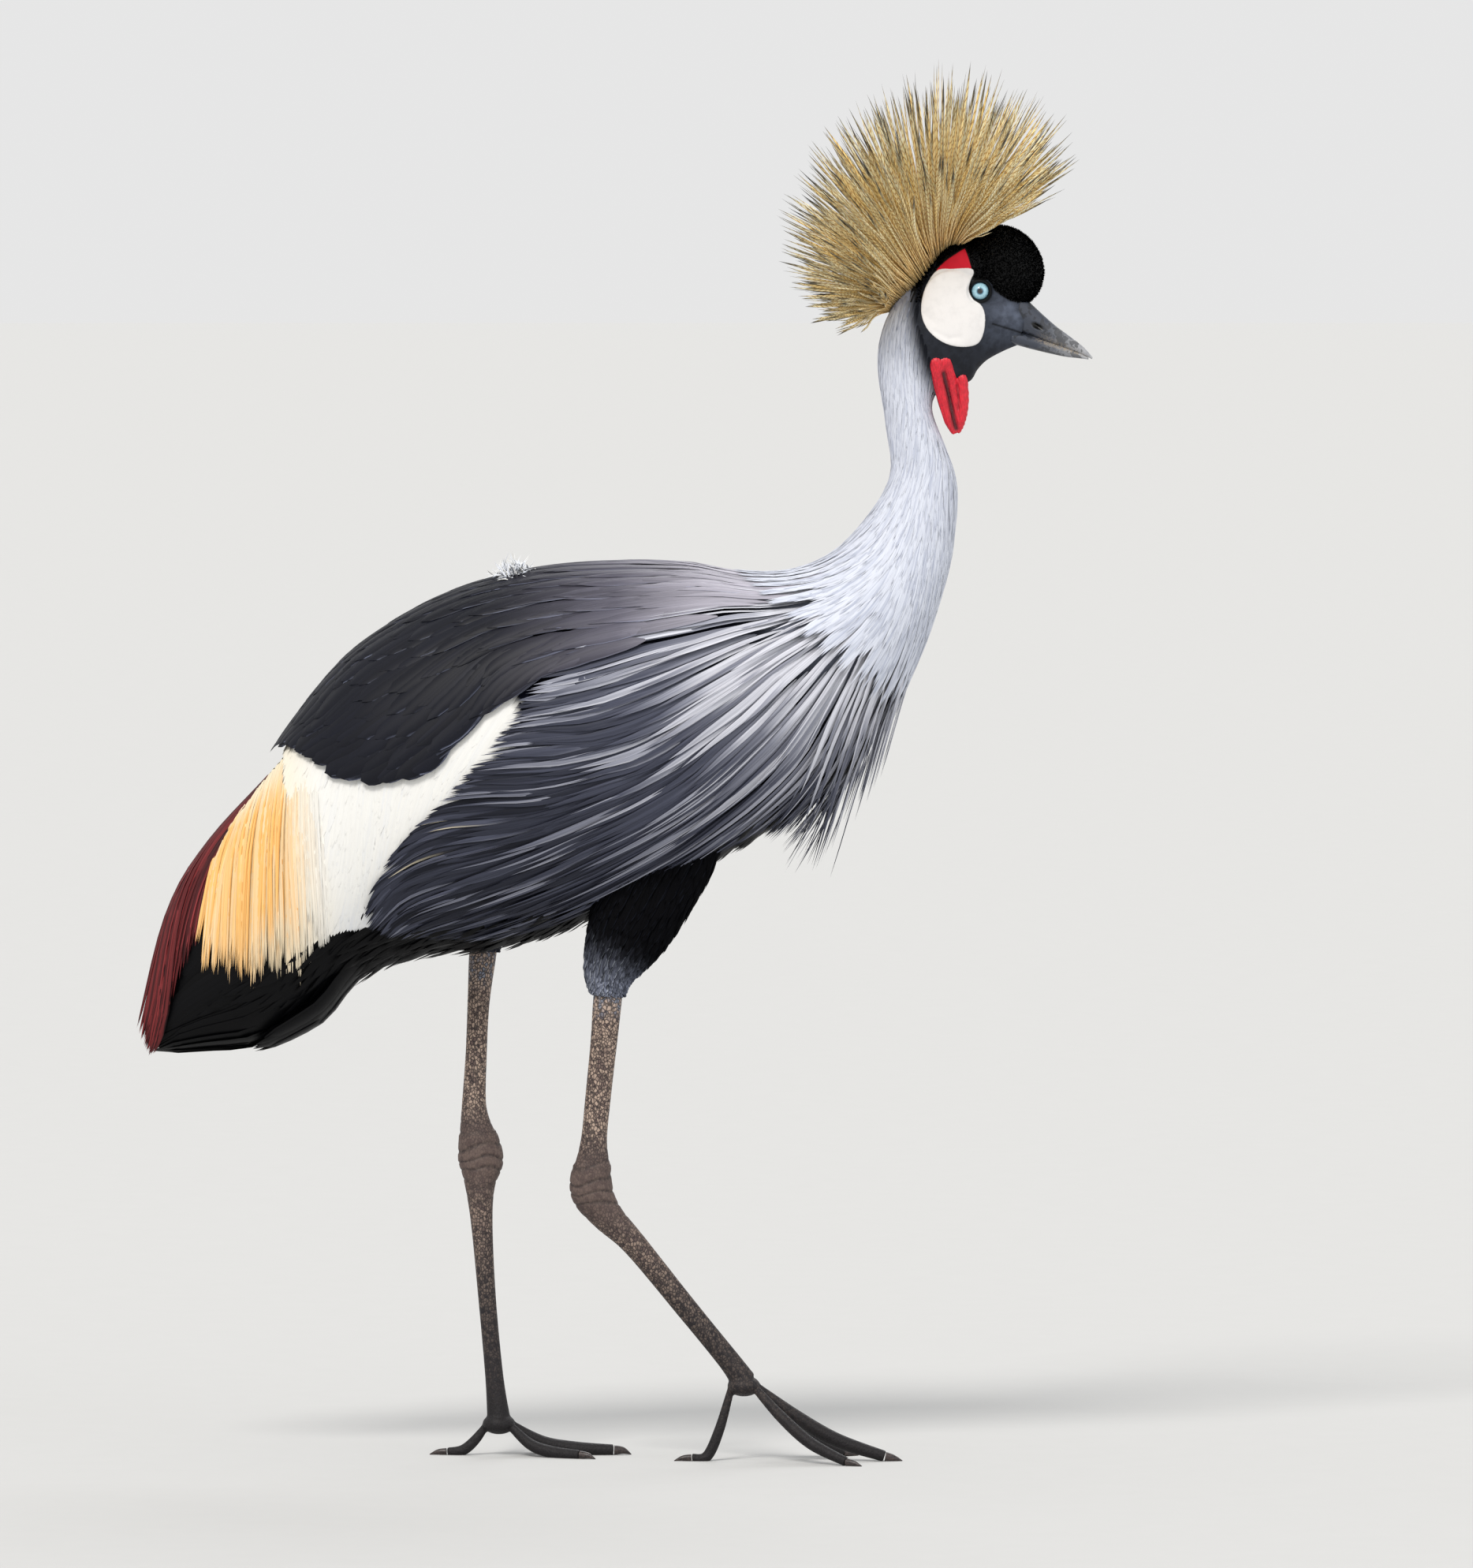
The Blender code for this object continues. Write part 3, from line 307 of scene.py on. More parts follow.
def limb_at(rows, at, turn):
    """Points and outward normals of a limb, whose rows are x, y, z and two radii in mm.

    At counts the rows, and turn is in radians."""
    rows = np.array(rows, float) * MM
    row = catmull(rows, at)
    step = 0.02
    ahead = catmull(rows, np.minimum(at + step, len(rows) - 1))
    behind = catmull(rows, np.maximum(at - step, 0))
    direction = unit(ahead[..., :3] - behind[..., :3])
    fore = unit(np.cross(direction, (0.0, 1.0, 0.0)))
    level = unit(np.cross(fore, direction))
    c, s = np.cos(turn)[..., None], np.sin(turn)[..., None]
    reach = fore * c * row[..., 3:4] + level * s * row[..., 4:5]
    normal = unit(fore * c * row[..., 4:5] + level * s * row[..., 3:4])
    return row[..., :3] + reach, normal


def limb(rows, around=24, steps=6):
    """A closed limb as points, quads and triangles."""
    at = np.linspace(0, len(rows) - 1, (len(rows) - 1) * steps + 1)[:, None]
    turn = turns(around)
    rings, _ = limb_at(rows, at + 0 * turn, turn + 0 * at)
    return tube(rings)


def joined(shapes):
    points, quads, tris, count = [], [], [], 0
    for shape_points, shape_quads, shape_tris in shapes:
        points.append(shape_points)
        quads.append(shape_quads + count)
        tris.append(shape_tris + count)
        count += len(shape_points)
    return np.concatenate(points), np.concatenate(quads), np.concatenate(tris)


def melted(name, shapes, voxel, iterations, look, slot, nodes):
    """Overlapping closed shapes melted into one smooth skin."""
    made = build(name, joined(shapes), look, slot, nodes)
    remesh = made.modifiers.new("melt", "REMESH")
    remesh.mode = "VOXEL"
    remesh.voxel_size = voxel
    soften = made.modifiers.new("soften", "SMOOTH")
    soften.factor = 0.5
    soften.iterations = iterations
    graph = bpy.context.evaluated_depsgraph_get()
    mesh = bpy.data.meshes.new_from_object(made.evaluated_get(graph))
    made.modifiers.clear()
    made.data = mesh
    mesh.materials.clear()
    mesh.materials.append(LOOKS[look])
    mesh.shade_smooth()
    return made


def read_points(made):
    points = np.zeros(len(made.data.vertices) * 3, np.float32)
    normals = np.zeros_like(points)
    made.data.vertices.foreach_get("co", points)
    made.data.vertices.foreach_get("normal", normals)
    return points.reshape(-1, 3).astype(float), normals.reshape(-1, 3).astype(float)


def write_points(made, points):
    made.data.vertices.foreach_set("co", points.astype(np.float32).ravel())
    made.data.update()


def noise_at(points, scale, seed=0.0):
    """Smooth noise from about -1 to 1 at each point."""
    shift = Vector((seed, seed * 1.7, seed * 0.6))
    return np.array([noise.noise(Vector(p) * scale + shift) for p in points])


# Plumage.

# Sections across a feather, in half widths and thicknesses.
LENS = np.array(((-1, 0), (0, 1), (1, 0), (0, -0.4)))
STRAND = np.array(((-1, 0), (0, 1), (1, 0)))
BLADE = np.array(((-1, 0), (-0.8, 0.9), (0, 1.1), (0.8, 0.9), (1, 0), (0, -0.4)))

# Half width along a feather, as (share of the length, share of the half width).
LANCE = ((0, 0.1), (0.1, 0.5), (0.25, 0.8), (0.5, 1.0), (0.7, 0.84), (0.85, 0.5), (0.95, 0.2), (1, 0))
ROUND = ((0, 0.6), (0.3, 0.95), (0.65, 1.0), (0.85, 0.82), (0.95, 0.5), (1, 0))
HAIR = ((0, 0.8), (0.4, 1.0), (0.8, 0.6), (1, 0))
BAKE_PATCH = 0.003


# Steps between 0 and 1 that spread numbers evenly in two and three directions.
EVEN_PAIR = (0.6180339887, 0.7548776662)
EVEN_THREE = (0.8191725134, 0.6710436067, 0.5497004779)
# Rows of a feather laid on trial, and the last that is too near its root for a tip.
TRIAL_ROWS, SHORTEST_ROW = 25, 11


def scatter(count, s_range, angle_range, keep, seed):
    """Evenly spread roots on the skin, as many for its area as keep(s, angle), 0 to 1, lets pass."""
    number = np.arange(1, count + 1) + 7919 * seed
    even = [(number * share) % 1 for share in EVEN_THREE]
    s = s_range[0] + (s_range[1] - s_range[0]) * even[0]
    angle = angle_range[0] + (angle_range[1] - angle_range[0]) * even[1]
    _, _, along, around = skin_frame(s, angle)
    area = np.linalg.norm(np.cross(along, around), axis=-1)
    chosen = even[2] < area / area.max() * keep(s, angle)
    return s[chosen], angle[chosen]


def inside(x, y, polygon):
    """Which places lie inside a closed polygon."""
    within = np.zeros(np.shape(x), bool)
    for (ax, ay), (bx, by) in zip(polygon, polygon[1:] + polygon[:1]):
        crosses = (ay > y) != (by > y)
        height = by - ay if by != ay else 1e-9
        within ^= crosses & (x < (bx - ax) * (y - ay) / height + ax)
    return within


def wrapped(angle):
    return (angle + 180) % 360 - 180


def lie(s, angle, length, aim, rows):
    """Places of each feather's rows on the skin, from its root the way aim(point) leads."""
    step = length / (rows - 1)
    places_s, places_angle = [s], [angle]
    for _ in range(rows - 1):
        point, normal, along, around = skin_frame(s, angle)
        way = aim(point)
        way = unit(way - normal * dot(way, normal)[:, None])
        aa, ab, bb = dot(along, along), dot(along, around), dot(around, around)
        on_along, on_around = dot(way, along), dot(way, around)
        area = aa * bb - ab**2
        s = np.clip(s + step * (bb * on_along - ab * on_around) / area, 0, LAST - 0.05)
        angle = angle + step * (aa * on_around - ab * on_along) / area
        places_s.append(s)
        places_angle.append(angle)
    return np.stack(places_s, axis=1), np.stack(places_angle, axis=1)


def flow(table):
    """Which way feathers lie, as a function of the place."""
    table = np.array(table, float)
    turn = np.radians(table[:, 2])
    ways = np.stack([-np.cos(turn), 0 * turn, -np.sin(turn)], axis=-1)

    def aim(point):
        seen = point[..., (0, 2)] / PIXEL * (1, -1) + PHOTO_ORIGIN
        away = np.linalg.norm(seen[..., None, :] - table[:, :2], axis=-1)
        return unit((1 / (away + 12) ** 3) @ ways)

    return aim


def grow(roots, reach, table, region, rows, seed):
    """Lies feathers on the skin, about as long in mm as the points (s, reach) say, and along the flow
    of the table. They are cut short where they would leave the region."""
    s, angle = roots
    aim, length = flow(table), curve(s, *reach) * draws(seed, len(s), 0.8, 1.15) * MM
    places_s, places_angle = lie(s, angle, length, aim, TRIAL_ROWS)
    within = inside(places_s, np.abs(wrapped(places_angle)), region)
    last = TRIAL_ROWS - 1 - np.argmax(within[:, ::-1], axis=1)
    stays = within.any(axis=1) & (last > SHORTEST_ROW)
    length = length[stays] * last[stays] / (TRIAL_ROWS - 1)
    return lie(s[stays], angle[stays], length, aim, rows)


def rise(places_s, places_angle, tops, power=0.55):
    """Lifts feathers from under the skin at their roots to the heights of their tips, in mm."""
    share = row_share(*places_s.shape)
    low = -body_depth(places_s[:, :1]) - 1 * MM
    return raised(places_s, places_angle, low + (tops[:, None] * MM - low) * share**power)


def fall(path, weight, pull, longer):
    """Lets feathers leave the skin towards the ground, by a weight of 0 to 1 at each row."""
    steps = np.diff(path, axis=1)
    size = np.linalg.norm(steps, axis=-1, keepdims=True) * (1 + longer * weight[:, 1:])[..., None]
    aim = unit(unit(steps) * (1 - weight[:, 1:, None]) + np.array(pull) * weight[:, 1:, None])
    return np.concatenate([path[:, :1], path[:, :1] + np.cumsum(aim * size, axis=1)], axis=1)


def vane_faces(count, rows, columns):
    """Quads and triangles of closed feathers: rings, a cap at the root and one point at the tip."""
    size = (rows - 1) * columns + 1
    i, j = np.meshgrid(np.arange(rows - 2), np.arange(columns), indexing="ij")
    p, q = i * columns + j, i * columns + (j + 1) % columns
    quads = np.stack([p, p + columns, q + columns, q], axis=-1).reshape(-1, 4)
    j = np.arange(columns)
    end = (rows - 2) * columns
    tips = np.stack([end + j, np.full(columns, size - 1), end + (j + 1) % columns], axis=-1)
    cap = np.array([(0, k, k + 1) for k in range(1, columns - 1)])
    tris = np.concatenate([tips, cap])
    shift = (np.arange(count) * size)[:, None, None]
    return (quads[None] + shift).reshape(-1, 4), (tris[None] + shift).reshape(-1, 3)


def vane_places(x, count, rows, root, seed, side):
    """Each point's place on its feather, with a chance number, and its place in the bake."""
    share = np.linspace(0, 1, rows)
    along = np.append(np.repeat(share[:-1], len(x)), 1.0)
    wide = np.append(np.tile((side * x + 1) / 2, rows - 1), 0.5)
    chance = draws(seed, count, 0, 1)
    vane = np.stack(np.broadcast_arrays(wide[None], along[None], chance[:, None]), axis=-1)
    spots = np.stack([root[0] / LAST, wrapped(root[1]) / 360 + 0.5], axis=-1)
    patch = np.stack([wide - 0.5, along - 0.5], axis=-1) * BAKE_PATCH
    return vane, spots[:, None] + patch[None]


def vanes(path, up, width, tint, rim, root, section, thick=0.3, cup=0.0, seed=1, side=1, arch=0.3):
    """Closed feathers along paths (feather, row, xyz), thick mm thick: shape, colours and bake places.

    They are shaded as one coat that faces up, a little arched across each feather."""
    count, rows = path.shape[:2]
    x, z = section[:, 0], section[:, 1]
    across = unit(np.cross(up, unit(np.gradient(path, axis=1))))
    lift = np.cross(unit(np.gradient(path, axis=1)), across)
    half = width[..., None] / 2
    upwards = thick * MM * z - cup * half * x**2
    rings = path[:, :, None] + across[:, :, None] * (half * x)[..., None]
    rings = rings + lift[:, :, None] * upwards[..., None]
    facing = unit(up[:, :, None] + arch * x[:, None] * across[:, :, None]) * np.where(z < 0, -1, 1)[:, None]
    vane, bake = vane_places(x, count, rows, root, seed, side)

    def ended(values, ends):
        """Rings of values, with the last ring drawn together in one."""
        return np.concatenate([values[:, :-1].reshape(count, -1, 3), ends[:, -1:]], axis=1).reshape(-1, 3)

    def spread(colour):
        colour = np.broadcast_to(colour, path.shape)
        return ended(np.repeat(colour[:, :, None], len(x), axis=2), colour)

    return {
        "shape": (ended(rings, path), *vane_faces(count, rows, len(x))),
        "tint": spread(tint),
        "rim": spread(rim),
        "vane": vane.reshape(-1, 3),
        "bake": bake.reshape(-1, 2),
        "facing": ended(facing, up),
    }


def coat(name, tracts, look, slot, nodes, is_smooth=True):
    """One piece from several tracts of feathers."""
    shape = joined([tract["shape"] for tract in tracts])
    tint, rim, vane, bake, facing = (
        np.concatenate([tract[key] for tract in tracts]) for key in ("tint", "rim", "vane", "bake", "facing")
    )
    colours = [("tint", tint), ("rim", rim), ("vane", vane)]
    build(name, shape, look, slot, nodes, colours, bake, is_smooth, facing if is_smooth else None)


def outline_at(outline, rows):
    return curve(np.linspace(0, 1, rows), *outline)


def widths(outline, rows, widest):
    """Widths in metres at each row, from each feather's widest in mm."""
    return outline_at(outline, rows) * (widest * MM)[:, None]


def even_pairs(count):
    """Evenly spread numbers from 0 to 1, in pairs."""
    return [(np.arange(1, count + 1) * step) % 1 for step in EVEN_PAIR]


def draws(seed, count, low, high):
    return np.random.default_rng(seed).uniform(low, high, count)


def row_share(count, rows):
    return np.broadcast_to(np.linspace(0, 1, rows), (count, rows))


# Materials.


class Wire:
    """A node's output, which adds and multiplies like a number."""

    def __init__(self, look, socket):
        self.look, self.socket = look, socket

    def maths(self, operation, other=0.0):
        return self.look.out("Math", {0: self, 1: other}, operation=operation)

    def __add__(self, other):
        return self.maths("ADD", other)

    def __sub__(self, other):
        return self.maths("SUBTRACT", other)

    def __mul__(self, other):
        return self.maths("MULTIPLY", other)

    def steps(self, low, high, out_low=0.0, out_high=1.0):
        """Goes smoothly from out_low to out_high as this goes from low to high."""
        values = dict(enumerate((self, low, high, out_low, out_high)))
        return self.look.out("MapRange", values, interpolation_type="SMOOTHSTEP")


class Look:
    """A material in the making. Inputs are numbers, colours or wires."""

    def __init__(self, name, **settings):
        self.material = bpy.data.materials.new(name)
        self.material.use_nodes = True
        self.tree = self.material.node_tree
        self.shader = self.tree.nodes["Principled BSDF"]
        for key, value in settings.items():
            self.feed(self.shader.inputs[key.replace("_", " ")], value)

    def feed(self, socket, value):
        if isinstance(value, Wire):
            self.tree.links.new(value.socket, socket)
        elif socket.type == "RGBA":
            socket.default_value = (*value, 1.0)
        else:
            socket.default_value = value

    def node(self, kind, inputs, **settings):
        made = self.tree.nodes.new("ShaderNode" + kind)
        for key, value in settings.items():
            setattr(made, key, value)
        for place, value in inputs.items():
            self.feed(made.inputs[place], value)
        return made

    def out(self, kind, inputs, place=0, **settings):
        return Wire(self, self.node(kind, inputs, **settings).outputs[place])

    def attribute(self, name):
        return self.out("Attribute", {}, "Color", attribute_name=name)

    def channels(self, colour):
        return [Wire(self, socket) for socket in self.node("SeparateColor", {0: colour}).outputs[:3]]

    def place(self, scale=(1, 1, 1), turn=(0, 0, 0)):
        """Where on the bird a point lies, stretched and turned."""
        plain = self.out("TexCoord", {}, "Object")
        return self.out("Mapping", {"Vector": plain, "Rotation": turn, "Scale": scale})

    def noise(self, place, scale, detail=3.0, rough=0.55):
        return self.out("TexNoise", {"Vector": place, "Scale": scale, "Detail": detail, "Roughness": rough})

    def grain(self, scale, detail=4.0):
        return self.noise(self.place(), scale, detail)

    def mix(self, share, a, b, blend="MIX"):
        return self.out("Mix", {0: share, 6: a, 7: b}, 2, data_type="RGBA", blend_type=blend)

    def dimmed(self, colour, light):
        grey = self.out("CombineColor", {0: light, 1: light, 2: light})
        return self.mix(1.0, colour, grey, "MULTIPLY")

    def done(self, colour, height=None, bump=0.3, depth=0.4):
        """The material in its colour, with bumps depth mm deep."""
        self.feed(self.shader.inputs["Base Color"], colour)
        if height is not None:
            bumps = self.out("Bump", {"Strength": bump, "Distance": depth * MM, "Height": height})
            self.feed(self.shader.inputs["Normal"], bumps)
        return self.material


def plumage_look(name, streaks, depth, rim_from, lean, rough, gloss, bump):
    """Feather: core and rim colours from the mesh, with strands along the vane.

    A lean of 1 puts the rim on the lower edge only, and 0 on both edges."""
    look = Look(name, Roughness=rough, Specular_IOR_Level=gloss)
    across, along, chance = look.channels(look.attribute("vane"))
    centred = across * 2.0 - 1.0
    outer = centred.maths("ABSOLUTE")
    seed = chance * 91.0
    place = look.out("CombineXYZ", {0: across * streaks + seed, 1: along * 2.2 + outer * -0.8, 2: seed})
    strands = look.noise(place, 1.0, 4.0, 0.65)
    outmost = outer * (1.0 - lean) + centred * lean + (strands - 0.5) * 0.7
    edge = outmost.steps(rim_from, rim_from + 0.4)
    colour = look.mix(edge, look.attribute("tint"), look.attribute("rim"))
    light = strands.steps(0.3, 0.7, 1.0 - depth, 1.0 + depth * 0.45)
    return look.done(look.dimmed(colour, light), strands, bump)


def crest_look():
    """Straw bristles, wound with dark and pale bands."""
    look = Look("crest_bristles", Roughness=0.45, Specular_IOR_Level=0.4)
    across, along, chance = look.channels(look.attribute("vane"))
    turns = along * 115.0 + chance * 70.0 + across * 4.0
    band = turns.maths("SINE").steps(-1.0, -0.45)
    return look.done(look.mix(band, look.attribute("tint"), look.attribute("rim")), band, 0.2)


def skin_look():
    """Skin under the plumage, its colour from the mesh and a fine grain over it."""
    look = Look("body_skin", Roughness=0.8, Specular_IOR_Level=0.1)
    fine = look.grain(900.0)
    shade = ((fine + look.grain(108.0, 3.0)) * 0.5).steps(0.3, 0.7, 0.8, 1.15)
    return look.done(look.dimmed(look.attribute("tint"), shade), fine, 0.25, 0.3)


def head_look():
    """The face: slate skin, white cheeks and red patch with crisp borders, from distances in the mesh."""
    look = Look("head_skin", Specular_IOR_Level=0.2)
    cheek, red, _ = look.channels(look.attribute("borders"))
    fine, broad = look.grain(1300.0), look.grain(160.0, 3.0)
    ragged = (fine - 0.5) * 0.02
    in_red = (red + ragged).steps(0.49, 0.51)
    in_cheek = (cheek + ragged).steps(0.495, 0.512)
    slate = look.dimmed(look.attribute("tint"), broad.steps(0.35, 0.65, 0.75, 1.2))
    colour = look.mix(in_red, slate, look.mix(broad, RED, RED * 0.75))
    chalk = look.mix(broad.steps(0.4, 0.8), CHEEK, CHEEK * 0.93)
    look.feed(look.shader.inputs["Roughness"], in_cheek.steps(0.0, 1.0, 0.62, 0.5))
    return look.done(look.mix(in_cheek, colour, chalk), fine, 0.25, 0.25)


def eye_look():
    """A pale iris with rays between a dark ring and the pupil, by the angle from the eye's axis."""
    look = Look("eye", Roughness=0.25, Coat_Weight=1.0, Coat_Roughness=0.03)
    polar, turn, _ = look.channels(look.attribute("tint"))
    rays = look.noise(look.out("CombineXYZ", {0: turn * 30.0, 1: polar}), 1.6)
    colour = look.mix(rays.steps(0.35, 0.7), IRIS * 0.8, IRIS * 1.12)
    colour = look.mix(polar.steps(0.17, 0.26), IRIS_DEEP, colour)
    colour = look.mix(polar.steps(0.5, 0.62), colour, IRIS_DEEP)
    colour = look.mix(polar.steps(0.145, 0.165), PUPIL, colour)
    return look.done(look.mix(polar.steps(0.62, 0.66), colour, EYE_RIM))


def bill_look():
    """Slate horn, paler to the tip, with dried tan earth along the cutting edges."""
    look = Look("bill_horn")
    along, edge, pit = look.channels(look.attribute("tint"))
    broad, fine = look.grain(150.0), look.grain(700.0)
    wear_and_sheen = along + (broad - 0.5) * 0.9
    colour = look.mix(wear_and_sheen.steps(0.3, 1.0), BILL_BASE, BILL_TIP)
    colour = look.mix(broad.steps(0.5, 0.57) * 0.7, colour, FACE_DARK)
    soiled = fine.steps(0.42, 0.55) * edge
    # The nostril is painted near black as shade, and the mouth line is a dark joint.
    colour = look.mix(pit, look.mix(soiled, colour, DIRT), HOLLOW)
    look.feed(look.shader.inputs["Roughness"], soiled.steps(0.0, 1.0, 0.36, 0.8))
    return look.done(colour, fine + broad, 0.35, 0.3)


def wattle_look():
    """Crimson skin with a long grain, and painted shade, deep red, in the grooves."""
    look = Look("wattle_skin", Roughness=0.45, Subsurface_Weight=0.12, Subsurface_Scale=0.003)
    fine = look.noise(look.place((900.0, 900.0, 260.0), (0, 0.5, 0)), 1.0, 4.0)
    groove, _, _ = look.channels(look.attribute("tint"))
    colour = look.mix(fine.steps(0.35, 0.7), RED * 0.72, RED * 1.1)
    return look.done(look.mix(groove, colour, RED_GROOVE_SHADE), fine, 0.5)


def leg_look():
    """Scaled skin: scales with furrows between, tan ones on the upper leg."""
    look = Look("leg_scales", Roughness=0.6, Specular_IOR_Level=0.3)
    cells = {"Vector": look.place((470.0, 470.0, 360.0)), "Scale": 1.0}
    edge = look.out("TexVoronoi", cells, "Distance", feature="DISTANCE_TO_EDGE")
    chance, _, _ = look.channels(look.out("TexVoronoi", cells, "Color"))
    specked, scaly, _ = look.channels(look.attribute("scales"))
    fine = look.grain(900.0)
    furrow = edge.steps(0.03, 0.22, 1.0, 0.0) * scaly
    tan = (chance + fine).steps(0.55, 1.15) * specked
    colour = look.mix(tan, look.attribute("tint"), LEG_TAN)
    colour = look.mix(furrow * 0.85, colour, LEG_DARK * 0.7)
    return look.done(colour, fine - furrow, 0.5, 0.3)


def claw_look():
    look = Look("claw_horn", Roughness=0.4)
    grain = look.grain(800.0)
    return look.done(look.mix(grain.steps(0.35, 0.7), LEG_DARK * 0.5, LEG_BROWN * 0.6), grain, 0.3, 0.2)


# Streaks across a vane, their depth, where the rim starts, its lean, roughness, gloss and bump.
PLUMAGES = {
    "neck": (3.0, 0.1, 0.3, 0.0, 0.8, 0.1, 0.05),
    "flank": (6.0, 0.25, 0.3, 0.75, 0.55, 0.2, 0.12),
    "back": (9.0, 0.2, 0.78, 0.9, 0.5, 0.2, 0.1),
    "covert": (5.0, 0.04, 0.6, 0.0, 0.9, 0.05, 0.03),
    "straw": (3.0, 0.2, 0.2, 0.5, 0.7, 0.1, 0.15),
    "chestnut": (9.0, 0.5, 0.45, 0.6, 0.45, 0.2, 0.4),
    "black": (8.0, 0.4, 0.8, 0.6, 0.45, 0.12, 0.25),
    "thigh": (5.0, 0.35, 0.5, 0.3, 0.8, 0.05, 0.2),
    "velvet": (3.0, 0.2, 0.5, 0.0, 1.0, 0.0, 0.1),
}
LOOKS = {key: plumage_look(key + "_plumage", *values) for key, values in PLUMAGES.items()}
LOOKS |= {
    "crest": crest_look(),
    "head": head_look(),
    "body": skin_look(),
    "eye": eye_look(),
    "bill": bill_look(),
    "wattle": wattle_look(),
    "leg": leg_look(),
    "claw": claw_look(),
}

# Head, in mm as the solids have it.
EYE_AT = np.array((274.2, 888.6)) * MM
EYE_RADIUS, EYE_OUT = 8.0 * MM, 10.6 * MM
PAD_AT = np.array((293.0, 0.0, 907.2)) * MM
PAD_RADII = np.array((32.6, 16.5, 27.8)) * MM
PAD_TILT = -54.0
CROWN_AT = np.array((263.0, 0.0, 908.0)) * MM
CROWN_RADII = np.array((24.0, 17.0, 18.5)) * MM
CHEEK_AT = (252.5 * MM, 875.0 * MM)
CHEEK_RADII = (24.0 * MM, 5.0 * MM, 29.0 * MM)
CHEEK_OUT = 16.3 * MM
# Outlines in the side view, x and z in mm, joined by smooth curves.
CHEEK_OUTLINE = (
    (242, 904.3), (234.6, 895.1), (230.4, 883.7), (229.7, 871.5), (233.6, 860.8), (242.1, 852.2),
    (252.9, 847.3), (264.6, 846.4), (273.2, 849.4), (277.3, 858.6), (277.9, 870.4), (275, 878),
    (268.9, 882.6), (265.7, 889.3), (267, 896.5), (269.6, 902.6), (266.5, 906), (254, 905.6),
)
RED_OUTLINE = (
    (241.5, 903.5), (247.5, 910.7), (255, 916.1), (261.8, 920.3), (263, 919.8), (265.1, 914.4),
    (267.4, 906.5), (266.5, 905.6), (254, 905),
)
DARK_OUTLINE = (
    (268, 930), (247, 920), (236, 912.5), (230.5, 901), (225, 889), (224, 873), (227, 856), (232, 838),
    (238, 824), (250, 812), (268, 815), (300, 832), (330, 850), (330, 900), (300, 940),
)
GAPE = np.array(((284.0, 863.6), (300.0, 858.6), (312.0, 854.4)))
# A soft fold crosses the lower cheek.
CHEEK_FOLD = np.array(((240.0, 858.0), (250.0, 853.0), (258.0, 853.5)))
# Depths inside the outlines are kept up to this many mm.
DEEPEST = 20.0
PILE_HAIRS = 15000


def spline_loop(points, steps=12):
    points = np.array(points, float)
    at = 1 + np.arange(len(points) * steps) / steps
    return catmull(np.concatenate([points[-1:], points, points[:2]]), at)


def line_distance(x, z, line):
    """Distance in mm from each place to the nearest point of a line."""
    best = np.full(np.shape(x), 1e9)
    for a, b in zip(line[:-1], line[1:]):
        d = b - a
        t = np.clip(((x - a[0]) * d[0] + (z - a[1]) * d[1]) / max(float(d @ d), 1e-9), 0, 1)
        best = np.minimum(best, np.hypot(x - a[0] - t * d[0], z - a[1] - t * d[1]))
    return best


def depth_inside(x, z, outline):
    """How deep in mm each place lies inside a closed outline; negative outside."""
    loop = spline_loop(outline)
    closed = np.concatenate([loop, loop[:1]])
    return np.where(inside(x, z, [tuple(p) for p in loop]), 1.0, -1.0) * line_distance(x, z, closed)


def skin_rings(s_values, around, depth):
    s = np.asarray(s_values, float)[:, None]
    angle = turns(around, 360)
    return raised(s, angle, -depth(s) + 0 * angle)[0]


def pad_depth(points):
    """How deep each point lies in the velvet pad, as a share of its size: positive inside."""
    c, sn = math.cos(math.radians(PAD_TILT)), math.sin(math.radians(PAD_TILT))
    d = points - PAD_AT
    x, z = d[:, 0] * c + d[:, 2] * sn, -d[:, 0] * sn + d[:, 2] * c
    return 1.0 - np.sqrt((x / PAD_RADII[0]) ** 2 + (d[:, 1] / PAD_RADII[1]) ** 2 + (z / PAD_RADII[2]) ** 2)


def shape_lids(points):
    """Sinks the sockets and rolls the lids round the eyes."""
    out = np.abs(points[:, 1])
    near = np.hypot(points[:, 0] - EYE_AT[0], points[:, 2] - EYE_AT[1]) / MM
    rim = curve(near, (0, 12.5), (5.9, 12.5), (6.9, 16.6), (7.6, 17.6), (8.6, 17.3), (10.0, 16.2)) * MM
    share = 1 - smooth(8.2, 11.0, near)
    facing = (out > 9 * MM) & (near < 11.0)
    moved = np.where(facing, out * (1 - share) + rim * share, out)
    points[:, 1] = np.sign(points[:, 1]) * moved
    return near


